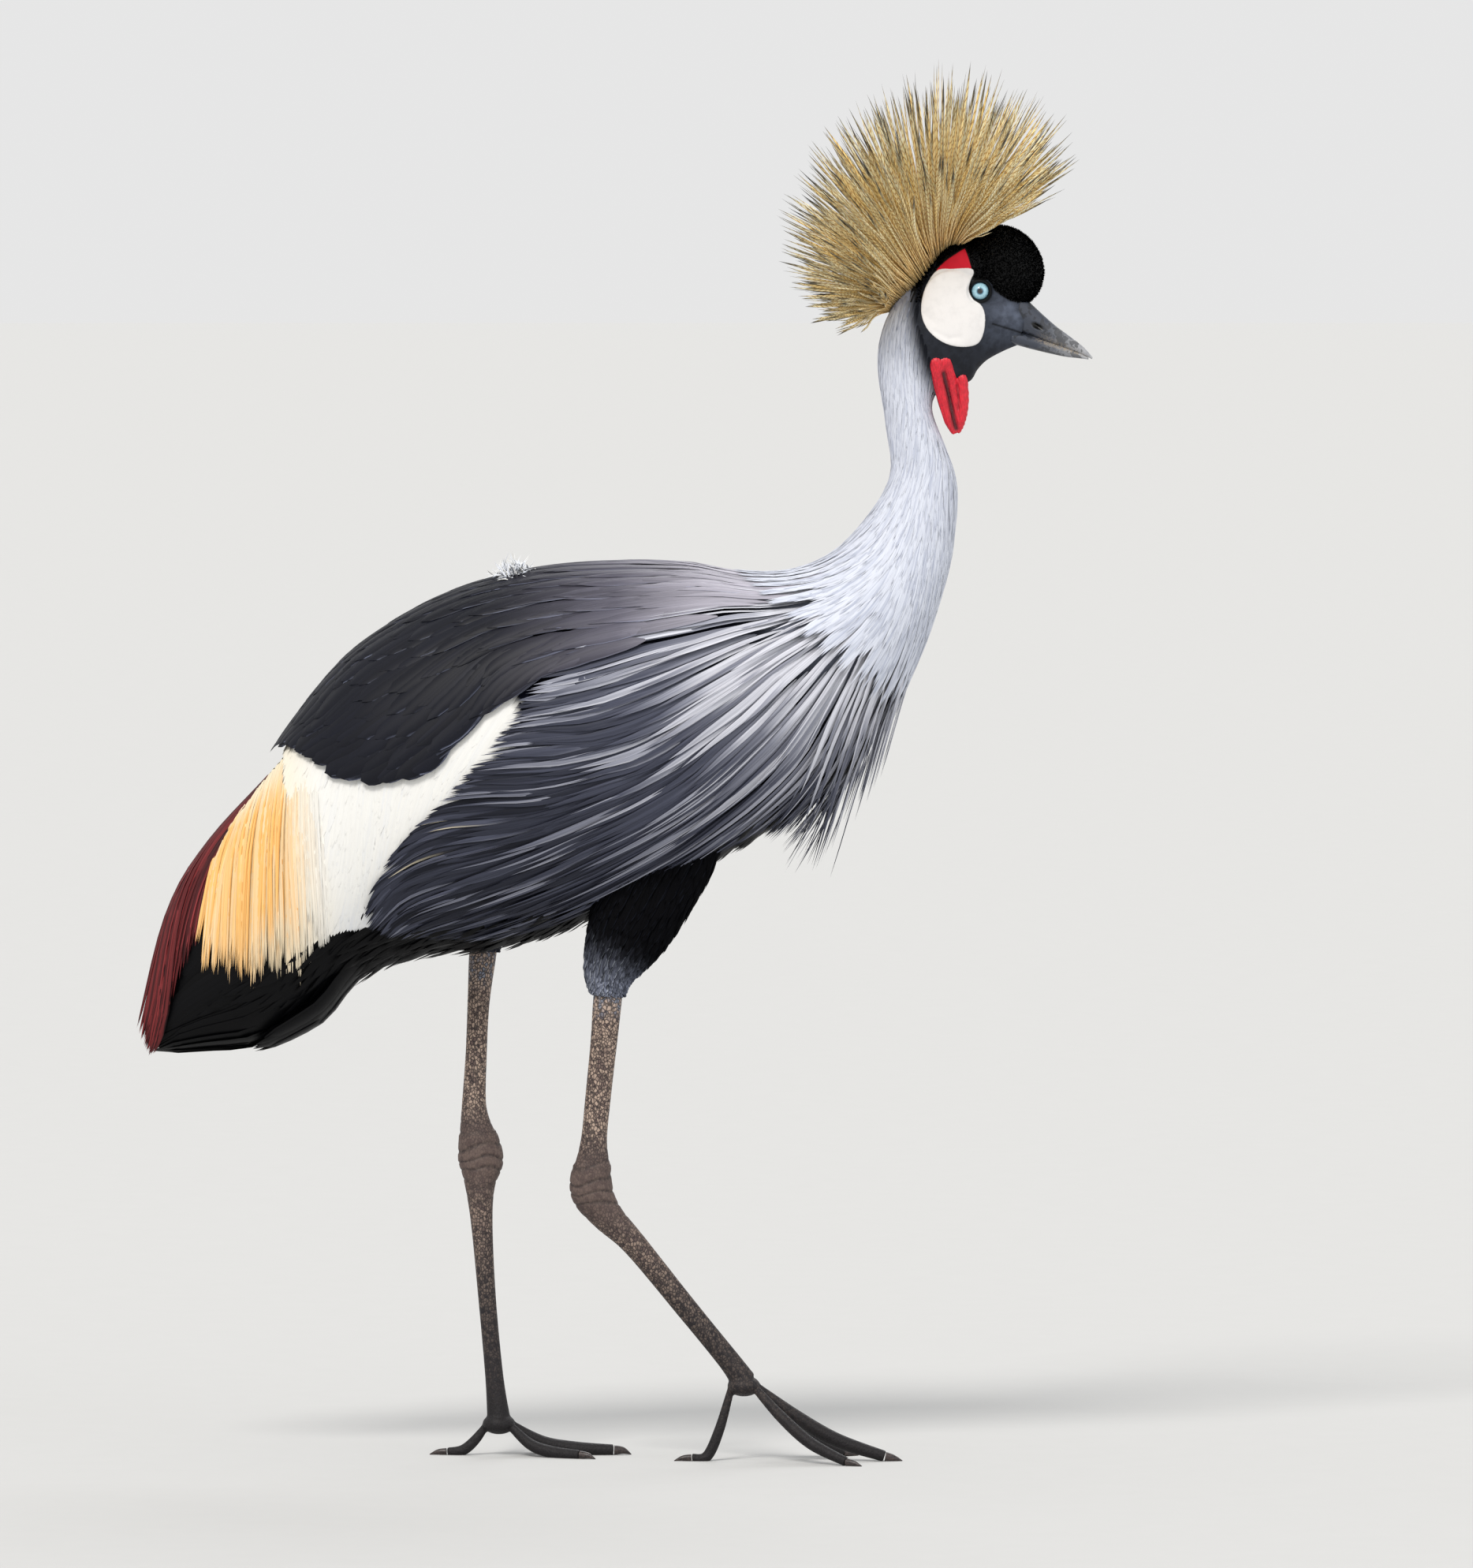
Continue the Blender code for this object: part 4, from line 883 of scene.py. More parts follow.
def make_head():
    rows = np.linspace(0, HEAD_END, 40)
    shapes = [tube(skin_rings(rows, 64, lambda s: 0.4 * MM + 0 * s))]
    shapes.append(ellipsoid(PAD_AT, PAD_RADII, PAD_TILT))
    shapes.append(ellipsoid(CROWN_AT, CROWN_RADII))
    for side in (-1, 1):
        shapes.append(ellipsoid((CHEEK_AT[0], side * CHEEK_OUT, CHEEK_AT[1]), CHEEK_RADII))
    head = melted("head_skin", shapes, 0.65 * MM, 6, "head", "velvet", ("head",))
    points, normals = read_points(head)
    near_eye = shape_lids(points)
    x, z = points[:, 0] / MM, points[:, 2] / MM
    is_beside = smooth(6, 11, np.abs(points[:, 1]) / MM) > 0.5
    cheek, red = (
        np.where(is_beside, depth_inside(x, z, outline), -DEEPEST) for outline in (CHEEK_OUTLINE, RED_OUTLINE)
    )
    gape = line_distance(x, z, GAPE)
    lift = 0.5 * smooth(-0.5, 1.2, cheek) + 0.3 * smooth(-0.4, 0.8, red)
    lift -= 0.8 * np.clip(1 - gape / 1.3, 0, 1) ** 2
    fold = line_distance(x, z, CHEEK_FOLD)
    lift -= 0.4 * np.exp(-((fold / 2.2) ** 2)) * smooth(0, 3, cheek)
    points += normals * (lift * MM)[:, None]
    write_points(head, points)
    velvet = smooth(-0.05, 0.0, pad_depth(points))
    paint(head.data, "tint", head_colour(x, z, points, near_eye, gape, velvet))
    borders = np.clip(np.stack([cheek, red, 0 * red], axis=-1), -DEEPEST, DEEPEST)
    paint(head.data, "borders", 0.5 + borders / (2 * DEEPEST))
    return points, normals, velvet, cheek, red


def head_colour(x, z, points, near_eye, gape, velvet):
    """Slate face with a painted sheen near the bill's base, and black velvet on the pad and over the cheeks.
    """
    dark = depth_inside(x, z, DARK_OUTLINE)
    bare = smooth(262, 288, x) * smooth(834, 858, z)
    tint = mix(FACE_DARK, FACE, 0.2 + 0.8 * bare)
    # Painted sheen: a paler patch between the eye and the bill's base.
    wear_and_sheen = np.exp(-(((x - 297) / 12) ** 2) - ((z - 873) / 9) ** 2)
    wear_and_sheen = wear_and_sheen * (0.7 + 0.6 * noise_at(points, 130.0, 5.0))
    tint = mix(tint, FACE_SHEEN, np.clip(0.8 * wear_and_sheen, 0, 1))
    tint = mix(tint, FACE_DARK * 0.3, smooth(10.0, 9.0, near_eye) * (np.abs(points[:, 1]) > 9 * MM))
    tint = mix(tint, VELVET, velvet)
    tint = mix(NECK_SHADE, tint, smooth(-9, 2, dark))
    band = (z > 880) & (x < 268) & (dark > -3) | (z > 897) & (x < 290)
    tint = mix(tint, VELVET, band * 1.0)
    return mix(tint, FACE_DARK * 0.4, np.clip(1 - gape / 1.2, 0, 1))


def make_velvet(points, normals, velvet, cheek, red):
    """Short dense pile on the pad and on the dark band over the cheeks."""
    x, z = points[:, 0] / MM, points[:, 2] / MM
    band = (x > 226) & (z > 880) & (x < 268) | (z > 898) & (x < 290)
    bare = (cheek > -0.8) | (red > -0.8)
    chosen = np.flatnonzero(((velvet > 0.9) | band) & ~bare)
    chosen = np.random.default_rng(3).permutation(chosen)[:PILE_HAIRS]
    root, out = points[chosen], normals[chosen]
    count, rows = len(chosen), 3
    jitter = np.random.default_rng(4).normal(0, 0.28, (count, 3))
    lean = unit(out + jitter + np.array((-0.25, 0, 0.1)))
    length = draws(5, count, 1.1, 2.2)[:, None, None] * MM
    share = row_share(count, rows)[..., None]
    path = root[:, None] - out[:, None] * 0.3 * MM + lean[:, None] * length * share
    width = np.broadcast_to(np.array((0.84, 0.6, 0.0)) * MM, (count, rows))
    up = np.broadcast_to(unit(np.cross(lean, (0.3, 0.9, 0.2)))[:, None], path.shape)
    shade = draws(6, count, 0.6, 1.8)[:, None, None] * VELVET
    tint = np.broadcast_to(shade, path.shape)
    centre = np.array((262.0, 0.0, 880.0)) * MM
    around = unit(root - centre)
    spots = (LAST * (0.5 + np.arctan2(around[:, 2], around[:, 0]) / 7), 170 * around[:, 1])
    pile = vanes(path, up, width, tint, tint, spots, STRAND, thick=0.4, seed=8)
    coat("velvet_pile", [pile], "velvet", "velvet", ("head",))


def make_eyes():
    rows, around = 40, 64
    polar = np.linspace(0, math.pi, rows + 2)[1:-1, None]
    turn = turns(around)
    for side, tag in ((-1, "right"), (1, "left")):
        x = np.sin(polar) * np.cos(turn)
        z = np.sin(polar) * np.sin(turn)
        y = side * np.cos(polar) + 0 * turn
        bulge = 1 + 0.06 * np.exp(-((polar / 0.5) ** 2)) + 0 * turn
        ball = np.stack([x, y, z], axis=-1) * EYE_RADIUS * np.minimum(bulge, 1.06)[..., None]
        centre = np.array((EYE_AT[0], side * EYE_OUT, EYE_AT[1]))
        shape = tube(ball + centre)
        out = shape[0] - centre
        from_axis = np.arccos(np.clip(side * unit(out)[:, 1], -1, 1)) / (math.pi / 2)
        swing = np.abs(np.arctan2(out[:, 2], out[:, 0])) / math.pi
        tint = np.stack([from_axis, swing, 0 * swing], axis=-1)
        build(f"eye_{tag}_ball", shape, "eye", "eye", (f"eye_{tag}",), [("tint", tint)])


# The bill's halves: ridge x, ridge z, edge x, edge z, half width, in mm, from the base to the tip.
UPPER_BILL = np.array((
    (305.9, 886.4, 300.3, 858.0, 9.0),
    (312.9, 879.4, 306.3, 856.2, 8.3),
    (322.2, 870.6, 315.2, 853.4, 7.3),
    (331.8, 862.2, 327.0, 849.2, 6.0),
    (342.6, 854.2, 340.2, 844.6, 4.4),
    (352.8, 846.2, 351.6, 840.4, 2.7),
    (360.0, 838.2, 359.6, 836.8, 0.9),
))
LOWER_BILL = np.array((
    (299.1, 859.4, 297.5, 848.6, 8.6),
    (306.1, 857.6, 303.9, 847.0, 7.8),
    (315.0, 854.8, 312.6, 844.6, 6.8),
    (326.9, 850.4, 325.8, 841.4, 5.5),
    (340.1, 845.6, 339.0, 838.6, 3.9),
    (351.5, 841.0, 351.0, 837.2, 2.2),
    (357.0, 837.7, 356.8, 836.5, 0.8),
))
NOSTRIL_AT = (317.8, 861.8)
NOSTRIL_RADII = (5.0, 2.1)
NOSTRIL_TILT = -28.0


def bill_rings(rows, around=72, steps=14):
    at = np.linspace(0, len(rows) - 1, (len(rows) - 1) * steps + 1)
    row = catmull(rows, at)[:, None]
    turn = turns(around)
    x, z = between(row, np.cos(turn))
    full = np.abs(np.sin(turn)) ** 0.75
    squeeze = 1 - 0.18 * np.clip(np.cos(turn), 0, 1) ** 2
    y = -row[..., 4] * np.sign(np.sin(turn)) * full * squeeze
    return np.stack([x, y, z], axis=-1), at / (len(rows) - 1), turn


def nostril(x, y, z):
    """How deep in mm the nostril and its groove lie at each place, and how much painted shade darkens the
    nostril there.
    """
    tilt = math.radians(NOSTRIL_TILT)
    dx, dz = x - NOSTRIL_AT[0], z - NOSTRIL_AT[1]
    u = dx * math.cos(tilt) + dz * math.sin(tilt)
    v = -dx * math.sin(tilt) + dz * math.cos(tilt)
    far = np.sqrt((u / NOSTRIL_RADII[0]) ** 2 + (v / NOSTRIL_RADII[1]) ** 2)
    beside = smooth(3, 5, np.abs(y))
    lip = 0.25 * np.exp(-(((far - 1.45) / 0.3) ** 2))
    # A shallow groove runs from the nostril towards the tip.
    groove = np.exp(-(((v + 0.12 * u) / 1.1) ** 2)) * smooth(2, 6, u) * (1 - smooth(14, 22, u))
    sunk = (3.2 * np.clip(1.15 - far, 0, 1) - lip + 0.45 * groove) * beside
    return sunk, smooth(0.0, 0.4, 1.2 - far) * beside


def make_bill():
    for name, rows, is_upper in (("bill_upper", UPPER_BILL, True), ("bill_lower", LOWER_BILL, False)):
        rings, along, turn = bill_rings(rows)
        x, y, z = rings[..., 0], rings[..., 1], rings[..., 2]
        along = along[:, None] + 0 * turn
        edge = smooth(0.1, 0.95, -np.cos(turn) if is_upper else np.cos(turn) + 0.2) + 0 * along
        pit = np.zeros_like(x)
        if is_upper:
            sunk, pit = nostril(x, y, z)
            y = y - np.sign(y) * sunk
        # The mouth line lies deep and dark.
        mouth = smooth(0.9, 0.97, -np.cos(turn) if is_upper else np.cos(turn)) + 0 * along
        pit = np.maximum(pit, mouth)
        shape = tube(np.stack([x, y, z], axis=-1) * MM)
        soiled = edge * smooth(0.3, 0.5, along) * (1 - smooth(0.88, 0.97, along))
        soiled = soiled * (0.45 if is_upper else 0.9)
        tint = np.stack([along, soiled, pit], axis=-1).reshape(-1, 3)
        tint = np.concatenate([tint, [[0, 0, 0], [1, 0, 0]]])
        build(name + "_horn", shape, "bill", "bill", (name,), [("tint", tint)])


# Each side's folds in mm: x, y, z, and radii in the side view and across it.
WATTLE_FOLDS = (
    (
        (240.6, 15, 839, 1.2, 1), (240.8, 16.6, 835, 4.6, 2.8), (242.4, 14, 825, 5, 3),
        (245, 9.8, 814, 5, 3.4), (248, 7.2, 802, 4.7, 3.6), (251.4, 5.6, 790, 4.1, 3.6),
        (255.8, 4.4, 780.5, 2.6, 2.6),
    ),
    (
        (246.6, 13.8, 839.5, 1.2, 1), (247.4, 15.6, 835.5, 5, 2.8), (250.4, 12, 826, 4.8, 3),
        (253, 8.8, 817, 4.4, 3.4), (254.8, 6.8, 806, 3.9, 3.4), (256.2, 5.4, 794, 3.2, 3.2),
        (256.8, 4.4, 783, 2.2, 2.4),
    ),
    (
        (261.2, 8, 827, 1.2, 1), (260.8, 8.8, 822.5, 3.8, 2.8), (261.2, 7.4, 815, 4.4, 3.6),
        (261.4, 6.4, 806, 4.6, 4.2), (260.6, 5.6, 796, 4.4, 4.2), (258.6, 4.8, 787, 3.8, 3.8),
        (256.8, 4.4, 781, 2.4, 2.4),
    ),
)
WATTLE_GROOVES = (
    np.array(((246.8, 826), (248.4, 819), (250.6, 810), (252.6, 800), (254.6, 790), (256.2, 784))),
    np.array(((257.0, 817.0), (258.0, 808.0), (258.0, 799.0))),
)


def make_wattle():
    folds = []
    for side in (-1, 1):
        for rows in WATTLE_FOLDS:
            folds.append(limb(np.array(rows) * (1, side, 1, 1, 1), steps=8))
    wattle = melted("wattle_skin", folds, 0.6 * MM, 2, "wattle", "wattle", ("wattle",))
    points, normals = read_points(wattle)
    x, z = points[:, 0] / MM, points[:, 2] / MM
    away = np.minimum(line_distance(x, z, WATTLE_GROOVES[0]), line_distance(x, z, WATTLE_GROOVES[1]) + 1.4)
    groove = np.exp(-((away / 1.9) ** 2)) * smooth(2, 5, np.abs(points[:, 1]) / MM)
    wrinkle = 0.16 * np.sin((x * 1.6 + z * 0.5) * 1.9 + 4 * noise_at(points, 60.0))
    points += normals * ((wrinkle - 0.9 * groove) * MM)[:, None]
    write_points(wattle, points)
    # Painted shade in the grooves between the folds.
    paint(wattle.data, "tint", np.stack([groove, groove, groove], axis=-1))


# The crest. Its roots cover a leaf-shaped patch of the hind crown.
CREST_START, CREST_END = 3.5, 5.92
CREST_CENTRE = np.array((238.0, 0.0, 911.0)) * MM
CREST_REACH = (
    (15, 80), (25, 109), (34, 131), (43, 149), (58, 153), (69, 150), (79, 155), (88, 154), (102, 139),
    (114, 135), (136, 129), (152, 125), (160, 123), (183, 112), (209, 100), (224, 82),
)


def crest_width(s):
    """Half width in degrees of the crest's patch of roots."""
    start = ((3.5, 1), (3.6, 4), (4.22, 15), (4.6, 29), (4.85, 35))
    return curve(s, *start, (5.1, 34), (5.5, 23), (5.87, 5), (5.92, 1))


def crest_colours(draw, share):
    """Dark and pale bands of each bristle, tan near its root and dark at its tip."""
    tone = draw.uniform(0, 1, len(share))[:, None]
    ends = smooth(0.8, 0.92, share + draw.uniform(-0.07, 0.05, len(share))[:, None])
    near = 0.7 * (1 - smooth(0.12, 0.4, share))
    pale = mix(mix(CREST_GOLD, CREST_PALE, np.clip(0.2 + tone, 0, 1)), CREST_TAN, near)
    deep = mix(mix(CREST_BROWN, CREST_GOLD * 0.7, 0.5 * tone), CREST_TAN * 0.7, near)
    return mix(deep, CREST_TIP, ends), mix(pale, CREST_TIP, ends)


def make_crest():
    """Stiff bristles that fan out from the hind crown, with fine dark ends."""
    count, rows = 1500, 8
    draw = np.random.default_rng(17)
    place, across = even_pairs(count)
    across = across * 2 - 1
    s = CREST_START + (CREST_END - CREST_START) * place
    angle = across * crest_width(s)
    up = 31 + 187 * place + draw.normal(0, 3.5, count)
    out = across * 58 + draw.normal(0, 5.0, count)
    length = curve(up, *CREST_REACH) * (1 - 0.12 * np.abs(across)) * MM * draw.uniform(0.84, 1.04, count)
    lift, turn = np.radians(up), np.radians(out)
    aim = np.stack([np.cos(lift) * np.cos(turn), -np.sin(turn), np.sin(lift) * np.cos(turn)], axis=-1)
    root, normal = raised(s, angle, np.full(count, -0.5 * MM))
    tip = CREST_CENTRE + aim * length[:, None]
    share = row_share(count, rows)
    bend = draw.normal(0, 1.5, (count, 1, 3)) * MM
    path = mix(root[:, None], tip[:, None], share) + bend * np.sin(math.pi * share)[..., None]
    path += normal[:, None] * (5 * MM * np.sin(math.pi * np.clip(share * 1.4, 0, 1)) * (1 - share))[..., None]
    outline = ((0, 0.6), (0.3, 0.7), (0.6, 1.0), (0.86, 0.9), (0.92, 0.4), (1, 0))
    width = widths(outline, rows, draw.uniform(1.3, 2.1, count))
    facing = unit(np.cross(tip - root, draw.normal(0, 1, (count, 3))))
    tint, rim = crest_colours(draw, share)
    up = facing[:, None] + 0 * path
    bristles = vanes(path, up, width, tint, rim, (s, angle), STRAND, thick=0.5, seed=19)
    coat("crest_bristles", [bristles], "crest", "crest", ("crest",), False)


# Body skin and plumage.


def body_depth(s):
    return curve(s, (0, 1.0), (HEAD_END, 1.2), (NECK_END, 4.0), (12.6, 11.0), (19.0, 13.0), (LAST, 16.0)) * MM


def under_colour(s, angle):
    """What shows between the feathers: pale under the neck, black under the belly, and painted shade, dark
    under the flank and dimmed under the back.
    """
    down = np.abs(wrapped(angle))
    # Painted shade between the feathers: near black under the flank, and the back's grey at half brightness
    # under the back.
    body = mix(NECK_SHADE, PLUME_DARK, smooth(11.8, 13.8, s))
    body = mix(body, BACK_MIDDLE * 0.5, smooth(55, 30, down) * smooth(10.6, 12, s))
    return mix(body, BLACK, smooth(120, 140, down) * smooth(12, 14, s))


def make_body_skin():
    rows, around = 150, 72
    s = np.linspace(5.4, 20.4, rows)

    def depth(at):
        return body_depth(at) + 14 * MM * smooth(19.6, 20.4, at)

    shape = tube(skin_rings(s, around, depth))
    angle = turns(around, 360)
    tint = under_colour(s[:, None] + 0 * angle, angle + 0 * s[:, None]).reshape(-1, 3)
    tint = np.concatenate([tint, tint[:1], tint[-1:]])
    across = np.broadcast_to(((angle / 360 + 0.5) % 1), (rows, around)).ravel()
    bake = np.stack([np.repeat(s / LAST, around), across], axis=-1)
    bake = np.concatenate([bake, bake[:1], bake[-1:]])
    nodes = ("neck_upper", "neck_lower", "torso")
    build("body_skin", shape, "body", "grey_plumage", nodes, [("tint", tint)], bake)


# The lie of the plumage as the side view shows it: x and y in photo pixels, and degrees below level.
NECK_FLOW = (
    (1150, 380, 78), (1145, 440, 88), (1150, 500, 90), (1160, 560, 87), (1160, 620, 82), (1144, 677, 71),
    (1100, 660, 60), (1200, 640, 86), (1192, 714, 77), (1088, 714, 48), (1033, 736, 32), (1070, 795, 42),
)
FLANK_FLOW = NECK_FLOW + (
    (959, 732, 9), (1125, 806, 73), (1144, 825, 68), (1014, 806, 35), (996, 880, 48), (1051, 936, 66),
    (1070, 991, 70), (1014, 1065, 71), (959, 973, 45), (903, 899, 34), (848, 991, 29), (885, 1010, 35),
    (811, 862, 21), (774, 806, 22), (811, 751, 13), (737, 880, 15), (737, 954, 12), (774, 1028, 23),
    (737, 1084, 28), (852, 780, 16), (691, 889, 8), (732, 921, 0), (691, 961, 1), (651, 1001, 0),
    (611, 1033, 5), (591, 1082, 14), (551, 1106, 22), (511, 1082, 38), (482, 1142, 58), (611, 1142, 27),
    (691, 1114, 24), (752, 1061, 22), (852, 1001, 28), (792, 969, 14), (892, 861, 30), (912, 961, 42),
    (912, 1041, 38), (812, 1102, 28),
)
BACK_FLOW = (
    (1060, 720, 40), (1010, 735, 20), (959, 732, 9), (852, 780, 16), (811, 751, 13), (732, 760, 10),
    (740, 720, 4), (651, 780, 18), (640, 730, 12), (571, 821, 35), (560, 750, 22), (551, 873, 47),
    (491, 821, 28), (480, 800, 30), (450, 881, 35), (511, 941, 38), (430, 941, 15), (390, 921, 10),
    (611, 861, 60), (671, 861, 43), (691, 812, 25), (400, 870, 40),
)
COVERT_FLOW = (
    (380, 1000, 80), (380, 1180, 78), (470, 1000, 84), (470, 1150, 80), (540, 1000, 72), (590, 950, 60),
    (640, 890, 56),
)
BELLY_FLOW = (
    (1000, 1000, 60), (850, 1110, 30), (640, 1200, 12), (487, 1211, 25), (416, 1264, 50), (300, 1300, 20),
)

# Where the tips of each tract may end, as (s, angle).
NECK_REGION = ((0, -1), (13, -1), (13, 181), (0, 181))
FLANK_REGION = (
    (8, -1), (10.4, -1), (11, 30), (12.7, 34), (14, 41), (14.9, 50), (15.8, 61), (16.3, 70), (16.56, 78),
    (16.8, 83), (17.05, 87.5), (17.45, 95.5), (17.7, 100), (18, 106), (18.5, 117.5), (18.67, 126),
    (18.67, 133), (18.45, 141), (17.8, 152), (17.25, 157), (16.5, 160), (15.4, 158), (14.7, 164),
    (14.4, 181), (8, 181),
)
BACK_REGION = (
    (9.5, -1), (19.8, -1), (19.6, 16), (19.26, 39), (18.87, 61), (18.47, 72.5), (18.05, 80), (17.73, 82.5),
    (17.38, 81.5), (16.95, 75.5), (16.73, 72.5), (16.48, 69.5), (15.8, 64), (14.9, 54), (14, 45),
    (12.7, 38), (11, 34), (9.5, 14),
)
COVERT_REGION = (
    (16.3, 66), (16.7, 68), (16.95, 71), (17.38, 77), (17.73, 78), (18.05, 76), (18.47, 68), (18.87, 56),
    (19.24, 34), (19.6, 18), (19.75, 60), (19.8, 90), (19.9, 118), (19, 129), (18.7, 135), (18.55, 131),
    (18.3, 121), (17.8, 110), (17.55, 104), (17.25, 99), (16.85, 91), (16.6, 87), (16.35, 82),
)
BELLY_REGION = (
    (12.4, 181), (12.6, 165), (14.4, 158), (16, 150), (17.7, 146), (18.4, 140), (19, 132), (19.95, 121),
    (21.4, 112), (22.6, 130), (22.6, 181),
)


def ramp(share, *colours):
    """Colours in even steps from 0 to 1."""
    at = np.linspace(0, 1, len(colours))
    return np.stack([np.interp(share, at, channel) for channel in np.transpose(colours)], axis=-1)


def tones(seed, count, low=-1.0, high=1.0):
    return draws(seed, count, low, high)[:, None]


PALE_CENTRE = np.array((190.0, 636.0)) * MM
LIGHT_FROM_NECK = (
    (0, 1.15), (60, 1.02), (120, 0.9), (165, 0.78), (215, 0.62), (262, 0.5), (330, 0.38), (400, 0.32),
)
WHITE_FRONT = -62 * MM


def everywhere(s, _):
    return np.ones_like(s)


def neck_tract():
    """Hair-like feathers of the neck, from the nape to the breast."""
    rows = 6
    reach = ((4.2, 10), (5.5, 20), (7, 36), (9, 54), (11.4, 84))

    def keep(s, angle):
        point = skin(s, angle) / MM
        dark = depth_inside(point[..., 0], point[..., 2], DARK_OUTLINE)
        crown = (s < CREST_END) & (np.abs(angle) < crest_width(s))
        return curve(s, (8.5, 1.0), (9.5, 0.6), (11, 0.3), (12, 0.25)) * ((dark < 5.0) & ~crown)

    roots = scatter(26000, (4.2, 11.2), (-180, 180), keep, 1)
    places_s, places_angle = grow(roots, reach, NECK_FLOW, NECK_REGION, rows, 2)
    count, root = len(places_s), (places_s[:, 0], places_angle[:, 0])
    top = curve(root[0], (4.2, 0.3), (8, 0.6)) + draws(3, count, -0.3, 0.1)
    path, up = rise(places_s, places_angle, top, 0.2)
    widest = curve(root[0], (4.2, 1.4), (7, 2.3), (9, 3.2), (11.4, 5.2)) * draws(4, count, 0.75, 1.25)
    width = widths(HAIR, rows, widest)
    shade = smooth(-15, 2, depth_inside(path[..., 0] / MM, path[..., 2] / MM, DARK_OUTLINE))
    tone = tones(5, count, 0, 1) ** 2
    tint, rim = (mix(mix(NECK_PALE, NECK_SHADE, share * tone), FACE_DARK, shade) for share in (0.8, 0.4))
    return vanes(path, up, width, tint, rim, root, STRAND, thick=0.1, cup=0.15, seed=6, arch=0.15)


def flank_colours(path, down, rank, tone, bright):
    """The highest plumes show pale, and all grow darker away from the neck. Painted shade darkens the plumes
    that lie beneath the highest, the more so away from the neck, and the side towards the belly.
    """
    away = np.linalg.norm(path[..., (0, 2)] - PALE_CENTRE, axis=-1) / MM
    # Painted shade on the plumes beneath the highest: dim is how bright the deepest stay, and shown reaches 1
    # on the highest.
    lowest = curve(away, (0, -0.3), (50, 0.0), (90, 0.55), (140, 0.76), (250, 0.86), (400, 0.89))
    dim = curve(away, (0, 0.9), (60, 0.75), (110, 0.58), (180, 0.4), (260, 0.3), (350, 0.2))
    dim = dim + 0.1 * smooth(85, 45, down)
    shown = dim + (1 - dim) * smooth(0, 0.12, rank[:, None] - lowest)
    light = curve(away, *LIGHT_FROM_NECK)
    # Darker towards the back, and painted shade on the side towards the belly.
    light = light * curve(down, (0, 0.7), (35, 0.85), (70, 1.0), (120, 1.0), (145, 0.92), (168, 0.75))
    core = np.clip(light * shown + 0.1 * tone + bright, 0, 1)
    edge = np.clip((light + 0.2 + 0.1 * tone) * shown + bright, 0, 1)
    return [ramp(value, PLUME_DARK, PLUME_SLATE, PLUME_GREY, PLUME_WHITE) for value in (core, edge)]


def flank_tract(side, count, slim, tops, bright, seed):
    """Long lance-shaped plumes that fan out from the neck's base over breast and flank."""
    rows = 12
    reach = ((9.2, 60), (10.5, 100), (12, 145), (14, 165), (16, 140), (17.5, 100))

    def keep(s, angle):
        upper = curve(s, (11.5, 0), (12.5, 10), (14.5, 20), (15.5, 34), (16.4, 50), (17.5, 70))
        return 1.0 * (np.abs(angle) > upper)

    roots = scatter(count, (9.2, 17.6), (0, 180 * side), keep, seed)
    places_s, places_angle = grow(roots, reach, FLANK_FLOW, FLANK_REGION, rows, seed + 1)
    count, root = len(places_s), (places_s[:, 0], places_angle[:, 0])
    top = draws(seed + 2, count, *tops)
    path, up = rise(places_s, places_angle, top)
    share, down, tip = row_share(count, rows), np.abs(wrapped(places_angle)), places_s[:, -1]
    # The breast's plumes hang free of the body towards their tips.
    free = smooth(112, 150, down[:, -1]) * smooth(12.2, 13.2, tip) * smooth(14.8, 14.1, tip)
    longer = 1.1 * draws(seed + 6, count, 0, 1)[:, None] ** 2
    path = fall(path, free[:, None] * smooth(0.3, 0.9, share) * 0.9, (-0.25, 0, -1), longer)
    widest = curve(root[0], (9.2, 2.8), (11, 3.8), (12.5, 4.8), (14, 6.0), (17, 8.0))
    width = widths(LANCE, rows, widest * draws(seed + 3, count, 0.75, 1.3) * slim)
    tint, rim = flank_colours(path, down, (top + 4.0) / 4.2, tones(seed + 4, count), bright)
    # Some plumes over the wing have a cream edge.
    at_wing = (tip > 17.6) & (down[:, -1] > 98) & (down[:, -1] < 124)
    cream = (at_wing & (draws(seed + 7, count, 0, 1) < 0.12))[:, None] * smooth(0.6, 0.85, share)
    rim = mix(rim, STRAW_CREAM, 0.85 * cream)
    return vanes(path, up, width, tint, rim, root, LENS, cup=0.15, seed=seed + 5, side=side, arch=0.35)


def back_tract(side):
    """Close feathers of the back, long in front and round on the dark lobe over the wings."""
    rows = 10
    reach = ((10, 75), (13, 100), (15, 86), (17, 72), (19.5, 56))
    roots = scatter(1150, (9.8, 19.7), (-8 * side, 84 * side), everywhere, 21)
    places_s, places_angle = grow(roots, reach, BACK_FLOW, BACK_REGION, rows, 22)
    s = places_s[:, 0]
    count, share = len(s), row_share(len(s), rows)
    top = draws(23, count, -0.5, 0.2)
    low = -curve(s, (9.8, 1.5), (12, 2.5))
    path, up = raised(places_s, places_angle, (low[:, None] + (top - low)[:, None] * share**0.35) * MM)
    blunt = 0.7 * smooth(14.5, 16.5, s)[:, None]
    outline = outline_at(LANCE, rows) * (1 - blunt) + outline_at(ROUND, rows) * blunt
    widest = curve(s, (10, 5), (13, 8), (15, 13), (17, 18)) * draws(24, count, 0.8, 1.2)
    tone = tones(25, count)
    base = ramp(smooth(110, -110, path[..., 0] / MM), BACK_FRONT, BACK_MIDDLE, BACK_REAR)
    tint = base * (1 + 0.2 * tone)[..., None]
    shown = curve(s, (10, 0.6), (14, 0.7), (16, 0.75), (19, 0.7))[:, None] * (0.6 + 0.6 * tone)
    rim, root = mix(tint, BACK_EDGE, np.clip(shown, 0, 1)), (s, places_angle[:, 0])
    width = outline * (widest * MM)[:, None]
    return vanes(path, up, width, tint, rim, root, LENS, thick=0.15, cup=0.1, seed=26, side=side, arch=0.45)


